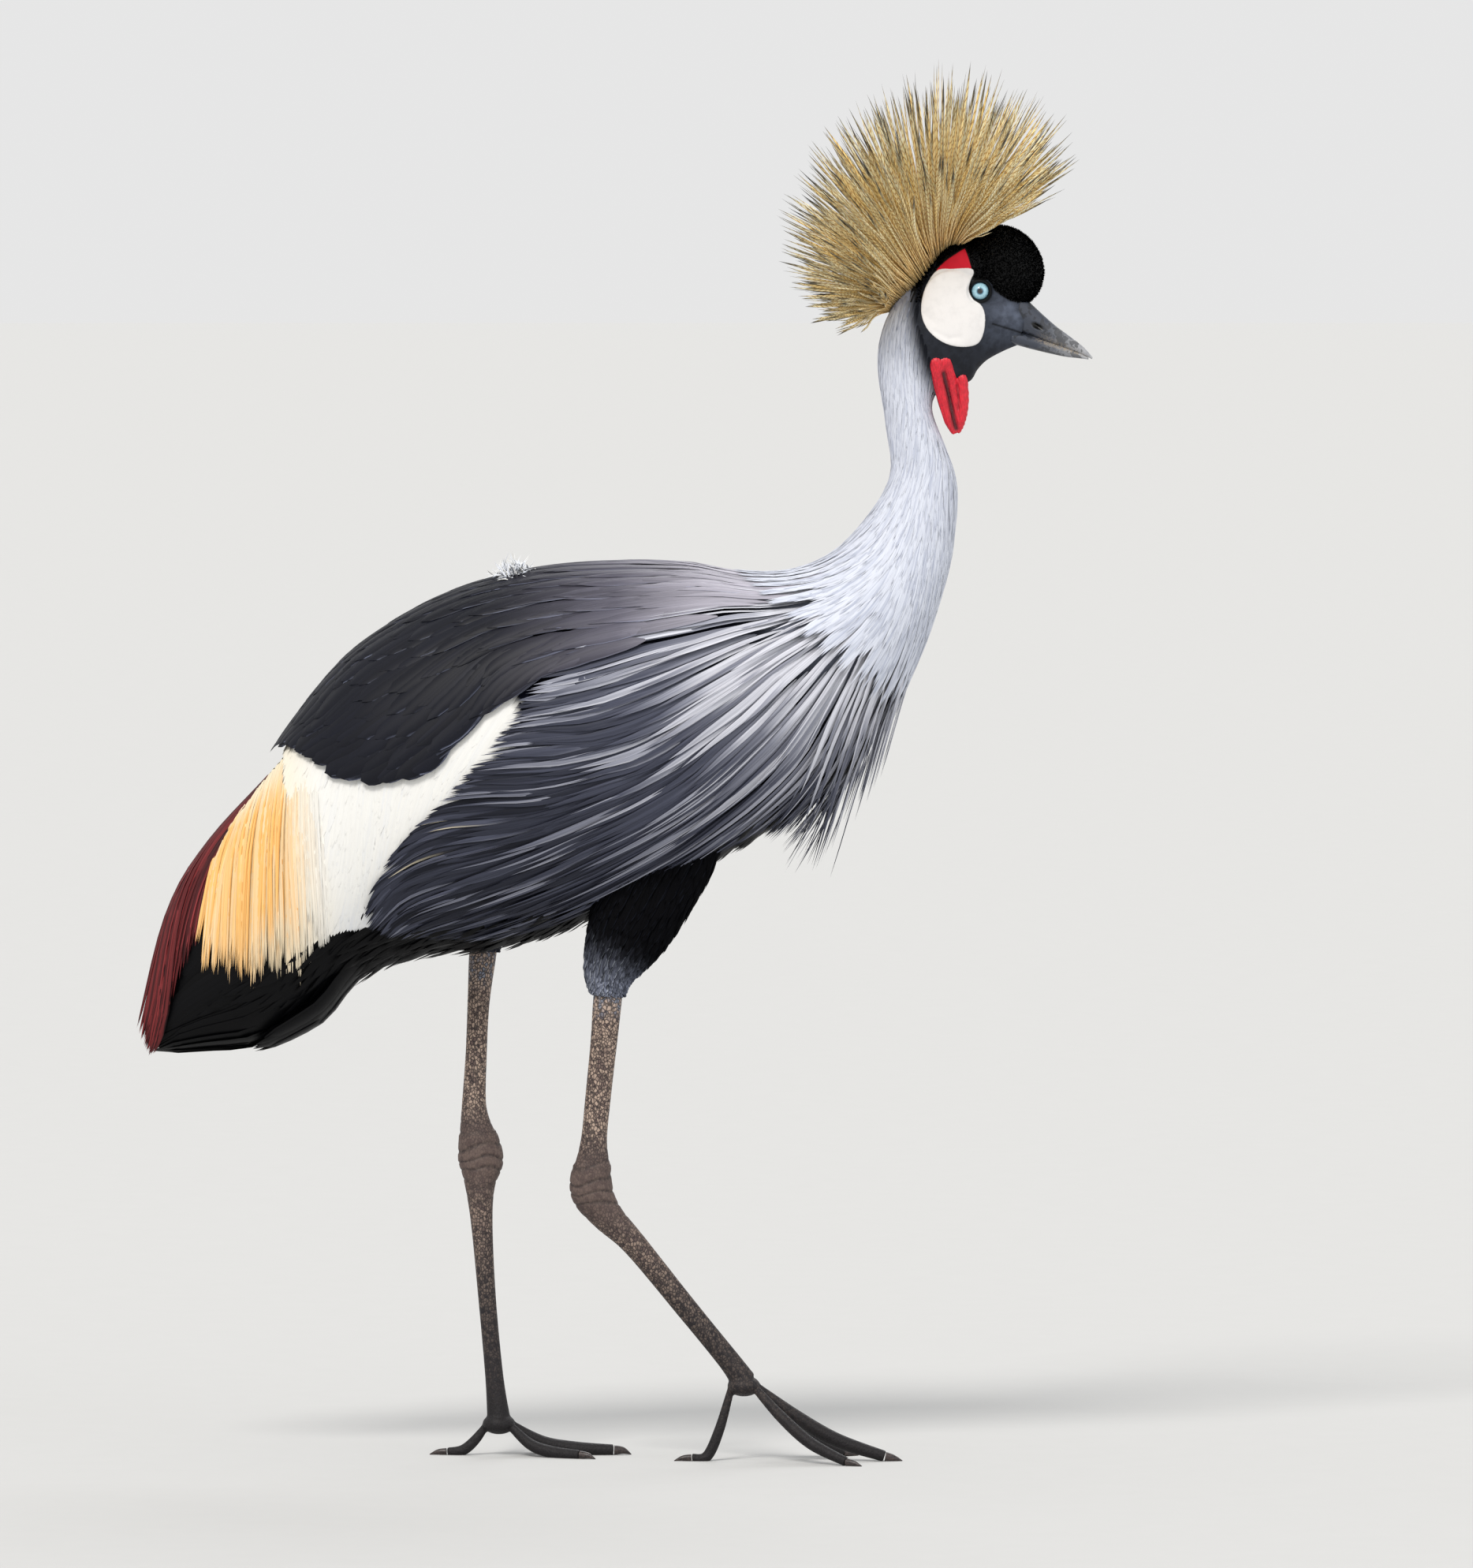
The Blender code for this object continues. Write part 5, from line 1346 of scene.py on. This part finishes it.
def covert_tract(side):
    """Smooth white coverts, which point down over the folded wing."""
    rows = 10

    def keep(s, angle):
        return 1.0 * ((skin(s, angle)[..., 0] < WHITE_FRONT) & (np.abs(angle) < 126))

    roots = scatter(3400, (15.8, 20.2), (0, 130 * side), keep, 31)
    places_s, places_angle = grow(roots, ((0, 84),), COVERT_FLOW, COVERT_REGION, rows, 32)
    count, root = len(places_s), (places_s[:, 0], places_angle[:, 0])
    share, down = row_share(count, rows), np.abs(wrapped(places_angle))
    top = draws(33, count, -4.9, -4.5)[:, None]
    path, up = raised(places_s, places_angle, (-6.2 + (top + 6.2) * share**0.25) * MM)
    width = widths(LANCE, rows, draws(34, count, 9, 15))
    tone = tones(35, count, 0, 1)
    # Painted shade along the lower edge of the white panel, and darker tones at random.
    tint = mix(WHITE, WHITE_SHADE, 0.3 * tone**3 * share + 0.3 * smooth(112, 128, down) * share)
    tint = mix(tint, STRAW_CREAM, smooth(18.9, 19.7, places_s) * 0.6)
    rim = mix(tint, WHITE_SHADE, 0.2 * tone * share)
    # Where the dark feathers cover them, the coverts are painted dark as shade.
    is_open = inside(places_s, down, COVERT_REGION)
    tint, rim = mix(BACK_REAR, tint, is_open), mix(BACK_REAR, rim, is_open)
    return vanes(path, up, width, tint, rim, root, LENS, thick=0.1, cup=0.12, seed=36, side=side, arch=0.05)


def fan(starts, ends, heights, rows, swing=1.0):
    """Feathers from start to end places on the skin, at heights in mm for root, middle and tip."""
    share = np.linspace(0, 1, rows)[None]
    s = starts[0][:, None] + (ends[0] - starts[0])[:, None] * share
    angle = starts[1][:, None] + (ends[1] - starts[1])[:, None] * share**swing
    root, middle, tip = heights
    inner, outer = root + (middle - root) * share * 2, middle + (tip - middle) * (share * 2 - 1)
    return raised(s, angle, np.where(share < 0.5, inner, outer) * MM)


def straw_tract(side):
    """Loose golden strands that hang from the rear of the back, in locks towards their tips."""
    locks, each, rows = 76, 12, 12
    count = locks * each
    draw = np.random.default_rng(41)
    share = np.repeat(-0.2 + 1.2 * (np.arange(locks) + draw.uniform(0.1, 0.9, locks)) / locks, each)
    start_s = 19.2 + 1.4 * share + draw.normal(0, 0.05, count)
    start = start_s, side * (33 - 24 * share + draw.uniform(-6, 6, count))
    short = np.repeat(draw.uniform(0.8, 1.06, locks), each) * draw.uniform(0.92, 1.01, count)
    short = np.where(share < 0.12, np.minimum(short, 0.97), short)
    tip_s = 19.7 + 1.9 * share + draw.normal(0, 0.03, count)
    tip_angle = (131 - 42 * np.clip(share, 0, 1) ** 2) * short + draw.normal(0, 1.0, count)
    high = curve(share, (-0.2, -4.4), (0.1, -3.2), (0.3, 0.4))
    top = np.repeat(draw.uniform(0, 1, locks), each) * (high + 4.6) - 4.6 + draw.uniform(-0.5, 0.5, count)
    top = top[:, None]
    path, up = fan(start, (tip_s, side * tip_angle), (-7.5 + 0 * top, top, top), rows)
    width = widths(((0, 0.9), (0.5, 1.0), (0.8, 0.8), (1, 0)), rows, draw.uniform(1.6, 3.4, count))
    along, tone = row_share(count, rows), draw.uniform(-1, 1, count)[:, None]
    golden = curve(share, (-0.2, 0.0), (0.0, 0.12), (0.15, 0.5), (0.35, 0.95), (0.7, 1.0), (1, 0.9))
    golden = np.clip(golden[:, None] * smooth(0.0, 0.4, along) * (1 + 0.5 * tone), 0, 1)
    pale = smooth(0.74, 0.96, along) * curve(share, (0, 0.9), (0.45, 0.8), (0.6, 0.2), (1, 0.1))[:, None]
    body = mix(WHITE, STRAW_CREAM, curve(share, (-0.2, 0.1), (0.1, 0.8), (0.3, 1.0))[:, None])
    tint = mix(body, STRAW_GOLD, golden * (1 - pale))
    rim = mix(tint, STRAW_DEEP, np.clip(0.4 + 0.4 * tone, 0, 1) * golden * (1 - pale))
    return vanes(path, up, width, tint, rim, start, STRAND, cup=0.05, seed=42, side=side)


def chestnut_tract(side):
    """Long chestnut feathers along the rear edge of the folded wing."""
    count, rows = 210, 16
    draw = np.random.default_rng(51)
    share = draw.uniform(0, 1, count)
    start = 20.0 + 0.5 * draw.uniform(0, 1, count), side * (3 + 26 * share)
    tip_s = curve(share, (0, 22.95), (0.3, 22.8), (0.5, 22.55), (0.7, 22.25), (0.85, 21.9), (1, 21.5))
    tip_s = tip_s - np.abs(draw.normal(0, 0.06, count))
    tip_angle = curve(share, (0, 60), (0.12, 150), (0.3, 140), (0.5, 96), (0.7, 80), (0.85, 70), (1, 60))
    end = tip_s, side * (tip_angle + draw.normal(0, 4, count))
    highest = curve(share, (0, -0.5), (0.3, -1.5), (1, -4.5))
    top, outer = (highest + draw.uniform(-2.5, 0.0, count))[:, None], (1 - share)[:, None]
    path, up = fan(start, end, (-9 + 0 * top, top + 3 * outer, top + 8 * outer), rows, 3.2)
    width = widths(((0, 0.7), (0.5, 1.0), (0.85, 0.7), (1, 0)), rows, draw.uniform(3.5, 7.5, count))
    tone = draw.uniform(-1, 1, count)[:, None]
    tint = mix(CHESTNUT, CHESTNUT_DARK, np.clip(0.55 + 0.5 * tone, 0, 1))
    rim = mix(CHESTNUT_DARK, CHESTNUT * 1.4, np.clip(0.4 + 0.6 * tone, 0, 1))
    return vanes(path, up, width, tint, rim, start, LENS, thick=0.8, cup=0.08, seed=52, side=side)


def black_fan(side, count, root_s, tip_s, root_angles, tip_angles, heights, widest, seed):
    """Broad dark feathers of wing and tail. Heights in mm are the roots' and the tips' range."""
    rows = 10
    draw = np.random.default_rng(seed)
    share = np.clip((np.arange(count) + draw.uniform(-0.3, 0.3, count)) / (count - 1), 0, 1)
    start_s = root_s + draw.uniform(-0.2, 0.2, count)
    start = start_s, side * (root_angles[0] + np.ptp(root_angles) * share)
    end_s = tip_s + draw.uniform(-0.25, 0.1, count)
    end = end_s, side * (tip_angles[0] + np.ptp(tip_angles) * share)
    top = draw.uniform(heights[1], heights[2], count)[:, None]
    path, up = fan(start, end, (heights[0] + 0 * top, top, top), rows)
    width = widths(ROUND, rows, draw.uniform(0.8, 1.2, count) * widest)
    tint = BLACK * draw.uniform(0.7, 1.4, count)[:, None, None]
    rim = mix(tint, BLACK_EDGE, draw.uniform(0, 0.8, count)[:, None])
    return vanes(path, up, width, tint, rim, start, BLADE, thick=0.6, cup=0.05, seed=seed, side=side)


def belly_tract():
    """Dark feathers of belly and vent."""
    rows = 7
    s, angle = scatter(5200, (12.0, 20.8), (90, 270), everywhere, 61)
    reach = ((12.4, 46), (16, 44), (20.6, 60))
    places_s, places_angle = grow((s, wrapped(angle)), reach, BELLY_FLOW, BELLY_REGION, rows, 62)
    count, root = len(places_s), (places_s[:, 0], places_angle[:, 0])
    path, up = rise(places_s, places_angle, draws(63, count, -4, 0.3), 0.6)
    width = widths(LANCE, rows, draws(64, count, 6, 12))
    tint = BLACK * draws(65, count, 0.6, 1.3)[:, None, None]
    rim = mix(tint, BLACK_EDGE, tones(66, count, 0, 0.8))
    return vanes(path, up, width, tint, rim, root, STRAND, thick=0.7, cup=0.1, seed=67)


def down_tuft():
    """A wisp of white down that sits on the back."""
    count, rows = 300, 7
    draw = np.random.default_rng(95)
    s, angle = 16.05 + draw.normal(0, 0.08, count), 4 + draw.normal(0, 4, count)
    root, normal = raised(s, angle, np.full(count, -1.0 * MM))
    way = unit(normal * 0.7 + draw.normal(0, 0.8, (count, 3)))
    share = row_share(count, rows)[..., None]
    curl = draw.normal(0, 5, (count, 1, 3)) * MM * share**2
    path = root[:, None] + way[:, None] * draw.uniform(4, 10, count)[:, None, None] * MM * share + curl
    width = widths(HAIR, rows, draw.uniform(0.9, 1.8, count))
    tint = mix(DOWN_PALE * 1.3, WHITE * 1.15, draw.uniform(0, 1, count)[:, None])
    return vanes(path, normal[:, None] + 0 * path, width, tint, tint, (s, angle), STRAND, seed=96)


# Count, width, range of heights in mm, added light and seed of the flank's two layers.
FLANK_LAYERS = (
    (2500, 1.0, (-4.0, 0.2), 0.0, 110),
    (700, 0.35, (-1.5, 0.8), 0.08, 130),
)
# Count, s and angles of roots and tips, heights and width in mm, and seed, as black_fan takes them.
PRIMARY_FANS = (
    (26, 19.2, 22.6, (80, 120), (66, 118), (-16, -12, -7), 15, 71),
    (24, 19.0, 21.3, (108, 150), (104, 150), (-16, -9, -4), 15, 72),
    (30, 19.9, 22.75, (100, 150), (96, 165), (-12, -7, -2), 15, 74),
    (22, 18.6, 21.0, (150, 178), (156, 180), (-11, 2, 8), 14, 75),
)
TAIL_FAN = (18, 19.2, 22.7, (138, 178), (138, 179), (-17, -5, 0.5), 22, 73)


def make_plumage():
    coat("neck_feathers", [neck_tract()], "neck", "neck_plumage", ("neck_upper", "neck_lower"))
    coat("back_feathers", [back_tract(1), back_tract(-1), down_tuft()], "back", "slate_plumage", ("mantle",))
    coat("belly_feathers", [belly_tract()], "black", "black_plumage", ("torso",))
    for side, tag in ((1, "right"), (-1, "left")):
        flank = [flank_tract(side, *layer) for layer in FLANK_LAYERS]
        coat(f"flank_plumes_{tag}", flank, "flank", "grey_plumage", ("torso",))
        wing = (
            ("coverts", [covert_tract(side)], "covert", "white_plumage"),
            ("straw_plumes", [straw_tract(side)], "straw", "straw_plumage"),
            ("secondaries", [chestnut_tract(side)], "chestnut", "chestnut_plumage"),
            ("primaries", [black_fan(side, *fan_of) for fan_of in PRIMARY_FANS], "black", "black_plumage"),
        )
        for part, tracts, look, slot in wing:
            coat(f"{part}_{tag}", tracts, look, slot, (f"wing_{tag}_{part}",))
    tails = [black_fan(side, *TAIL_FAN) for side in (1, -1)]
    coat("tail_feathers", tails, "black", "black_plumage", ("tail",))


# The legs in mm, as the solids have them: x, y, z, and radii in the side view and across it.
LEGS = {
    "right": {
        "thigh": (
            (44, -30, 490, 40, 13), (34, -34, 458, 38, 15), (9, -41, 408, 33, 18), (-6, -42, 375, 21.5, 16),
            (-8, -42, 354.4, 13, 12),
        ),
        "shank": (
            (-6, -42, 372, 10.5, 10), (-8.4, -42, 352, 11, 10), (-11.2, -41, 320, 10.2, 8.5),
            (-15.4, -39.5, 280, 9.8, 8), (-18.8, -38, 245, 10, 9), (-20, -37, 224, 14, 11),
        ),
        "tarsus": (
            (-20.2, -37, 226, 14.5, 11.5), (-20.5, -36, 206, 16.5, 12.5), (-9, -35, 187, 12.5, 10.5),
            (12, -34, 165, 9.5, 8.5), (50, -32, 118, 8.5, 7), (84, -31, 76, 8.5, 7.5), (95, -30, 60, 10, 9),
        ),
        "hock": 208,
    },
    "left": {
        "thigh": (
            (-62, 40, 470, 34, 17), (-76, 40, 446, 32, 18), (-92, 40, 418, 24, 17),
            (-102.6, 40.6, 398, 17, 14), (-104, 40, 384, 12.5, 11.5),
        ),
        "shank": (
            (-102, 40, 402, 10, 10), (-104.4, 40, 382, 10.5, 10), (-107.6, 38, 345, 8.5, 8),
            (-109.4, 35, 305, 8.2, 8), (-111, 31.5, 266, 9.5, 9), (-108.6, 30.5, 244, 14, 11),
        ),
        "tarsus": (
            (-108.4, 30.3, 246, 14.5, 11.5), (-105.8, 30, 225, 17.5, 12.5), (-106.4, 28, 205, 11.5, 10.5),
            (-105, 26, 176, 8.3, 8), (-101, 23, 120, 6.8, 7), (-95.5, 20.5, 60, 7, 7), (-92, 19, 27, 9, 9),
        ),
        "hock": 227,
    },
}
# Direction in degrees, length and radius of each toe.
TOES = {
    "middle": (2, 78, 6.2),
    "inner": (-27, 60, 5.2),
    "outer": (30, 64, 5.2),
    "hind": (176, 30, 4.6),
}
TOE_TAPER = ((0.6, 0.4), (0.85, 0.9), (0.9, 0.95), (0.7, 0.75))
TOE_SHARES = (0.0, 0.3, 0.62, 1.0)
FLAT_FALL, STEP_FALL, HIND_FALL = (0, 0.72, 1, 1), (0, 0.42, 0.78, 1), (0, 0.6, 1, 1)
STEP_STRETCH = 1.25
ANKLE_TO_TOE = 9.5
PALM_RADII = np.array((12.5, 12.5, 8.0)) * MM
SOLE_SUNK = 0.7
CLAW_LENGTH = 13
CLAW_TAPER = (0.6, 0.44, 0.0)
THIGH_COAT = 3


def toe_paths(tag):
    """Name, rows in mm, direction and radius of each toe, as the solids have them."""
    is_right = tag == "right"
    ankle = np.array(LEGS[tag]["tarsus"][-1][:3], float)
    for name, (turn, length, radius) in TOES.items():
        is_hind = name == "hind"
        direction = math.radians(-turn if is_right else turn)
        aim = np.array((math.cos(direction), math.sin(direction), 0))
        foot = ankle + aim * ANKLE_TO_TOE + np.array((0, 0, -4.0))
        stretch = STEP_STRETCH if is_right and not is_hind else 1.0
        fall_by = HIND_FALL if is_hind else STEP_FALL if is_right else FLAT_FALL
        path = []
        for share, down, (high, wide) in zip(TOE_SHARES, fall_by, TOE_TAPER):
            height = foot[2] + (radius * high - SOLE_SUNK - foot[2]) * down
            flat = foot + aim * length * stretch * share
            path.append((flat[0], flat[1], height, radius * high, radius * wide))
        yield name, path, aim, radius


def make_leg(tag):
    leg = LEGS[tag]
    ankle = (np.array(leg["tarsus"][-1][:3], float) + (0, 0, -3)) * MM
    shapes = [limb(leg["shank"]), limb(leg["tarsus"]), ellipsoid(ankle, PALM_RADII)]
    for name, path, aim, radius in toe_paths(tag):
        shapes.append(limb(path, 20, 8))
        make_claw(tag, name, path, aim, radius)
    nodes = [f"shank_{tag}", f"tarsus_{tag}"] + [f"toe_{tag}_{name}" for name in TOES]
    leg_skin = melted(f"leg_skin_{tag}", shapes, 1.0 * MM, 3, "leg", "leg_skin", nodes)
    points, normals = read_points(leg_skin)
    z = points[:, 2] / MM
    above = z - leg["hock"]
    at_hock = np.exp(-((above / 24) ** 2))
    wrinkle = np.clip(np.sin(z * 0.62 + 5 * noise_at(points, 45.0, 3.0)), 0, 1) ** 3 * at_hock
    points -= normals * (0.8 * wrinkle * MM)[:, None]
    points[:, 2] = np.maximum(points[:, 2], 0.0)
    write_points(leg_skin, points)
    tint = mix(LEG_BROWN * 0.8, LEG_BROWN, smooth(20, 90, above))
    tint = mix(tint, LEG_DARK * 0.8, smooth(-30, -110, above))
    tint = mix(tint, LEG_DARK * 0.35, smooth(75, 30, z))
    tint = mix(tint, NECK_SHADE * 0.5, smooth(125, 140, above))
    # Painted shade in the wrinkles at the hock.
    tint = mix(tint, LEG_DARK * 0.5, wrinkle * 0.7)
    paint(leg_skin.data, "tint", tint)
    specked = curve(above, (-190, 0), (-120, 0.15), (-40, 0.45), (-20, 0.1), (25, 0.1), (45, 0.9))
    paint(leg_skin.data, "scales", np.stack([specked, 1 - 0.8 * at_hock, 0 * z], axis=-1))


def make_claw(tag, name, path, aim, radius):
    before, tip = (np.array(row[:3]) for row in path[-2:])
    onward = unit(tip - before)
    start = tip + onward * 0.6
    middle = start + onward * CLAW_LENGTH * 0.5
    middle[2] = max(middle[2], 2.2)
    end = start + aim * CLAW_LENGTH + np.array((0, 0, 0.3 - start[2]))
    radii = [(max(radius * share, 0.3),) * 2 for share in CLAW_TAPER]
    rows = [(*point, *pair) for point, pair in zip((start, middle, end), radii)]
    points, quads, tris = limb(rows, 20, 10)
    points[:, 2] = np.maximum(points[:, 2], 0.0)
    build(f"claw_{tag}_{name}_horn", (points, quads, tris), "claw", "claw", (f"claw_{tag}_{name}",))


def make_thigh(tag):
    """Feathered thigh: a dark skin with close feathers, greyer at the lower end."""
    inner = np.array(LEGS[tag]["thigh"], float) - (0, 0, 0, THIGH_COAT, THIGH_COAT)
    shape = limb(inner, 32)
    nodes = (f"thigh_{tag}",)
    dark = [("tint", np.broadcast_to(BLACK, shape[0].shape))]
    build(f"thigh_skin_{tag}", shape, "body", "black_plumage", nodes, dark)
    count, rows = 2600, 6
    at, turn = even_pairs(count)
    at, turn = at * 3.9, turn * 2 * math.pi
    draw = np.random.default_rng(91)
    share = row_share(count, rows)
    reach = draw.uniform(0.35, 0.6, count)[:, None] * curve(at, (0, 1), (3, 0.8), (4, 0.35))[:, None]
    places = np.minimum(at[:, None] + reach * share, 4.0)
    surface, normal = limb_at(inner, places, turn[:, None] + 0 * share)
    height = (-0.5 + (draw.uniform(2.2, 4.2, count)[:, None]) * share**0.6) * MM
    hairs = surface + normal * height[..., None]
    width = widths(LANCE, rows, draw.uniform(2.5, 5.5, count) * curve(at, (0, 1), (3, 0.7), (4, 0.45)))
    start = 2.0 if tag == "right" else 3.2
    grey = smooth(start, start + 1.4, at)[:, None] * draw.uniform(0.3, 1, count)[:, None] + 0 * share
    tint, rim = mix(BLACK * 1.2, DOWN_GREY, grey), mix(BLACK_EDGE, DOWN_PALE, grey)
    spots = (LAST * at / 4, np.degrees(turn) - 180)
    feathers = vanes(hairs, normal, width, tint, rim, spots, STRAND, thick=0.6, cup=0.1, seed=92)
    coat(f"thigh_feathers_{tag}", [feathers], "thigh", "black_plumage", nodes)


# Stage, light and camera.


def make_stage():
    size = 60.0
    mesh = bpy.data.meshes.new("floor")
    corners = ((-size, -size, 0), (size, -size, 0), (size, size, 0), (-size, size, 0))
    mesh.from_pydata(corners, [], [(0, 1, 2, 3)])
    look = Look("floor", Roughness=1.0, Specular_IOR_Level=0.0)
    mesh.materials.append(look.done(look.mix(look.grain(30.0, 3.0), FLOOR * 0.97, FLOOR)))
    placed("floor", mesh)


def sun_light(name, source, strength, spread, colour=(1, 1, 1)):
    """Even light from the direction of source, softened over an angle of spread degrees."""
    data = bpy.data.lights.new(name, "SUN")
    data.energy = strength
    data.angle = math.radians(spread)
    data.color = colour
    placed(name, data).rotation_euler = (-Vector(source)).to_track_quat("-Z", "Y").to_euler()


def make_lights():
    sun_light("key", (-0.7, -1.6, 1.9), 2.1, 20, (1.0, 0.97, 0.93))
    sun_light("fill", (1.6, -1.4, 0.6), 0.6, 60, (0.94, 0.97, 1.0))
    sun_light("back", (0.5, 2.0, 1.6), 0.7, 30, (0.96, 0.98, 1.0))
    world = bpy.data.worlds.new("studio")
    bpy.context.scene.world = world
    world.use_nodes = True
    background = world.node_tree.nodes["Background"]
    background.inputs["Color"].default_value = (0.98, 0.98, 0.98, 1)
    background.inputs["Strength"].default_value = 0.81
    bpy.context.scene.view_settings.view_transform = "Standard"


def make_camera():
    data = bpy.data.cameras.new("camera")
    camera = placed("camera", data)
    lift = math.radians(CAMERA_LIFT)
    back = Vector((0, -math.cos(lift), math.sin(lift)))
    camera.location = Vector(VIEW_CENTRE) + back * CAMERA_DISTANCE
    camera.rotation_euler = (math.pi / 2 - lift, 0, 0)
    data.sensor_width = 36
    data.lens = data.sensor_width * CAMERA_DISTANCE / (PHOTO_SIZE[1] * PIXEL)
    data.clip_end = 200
    bpy.context.scene.camera = camera


def main():
    make_camera()
    make_lights()
    make_stage()
    make_body_skin()
    make_velvet(*make_head())
    make_eyes()
    make_bill()
    make_wattle()
    make_crest()
    make_plumage()
    for tag in LEGS:
        make_leg(tag)
        make_thigh(tag)


main()
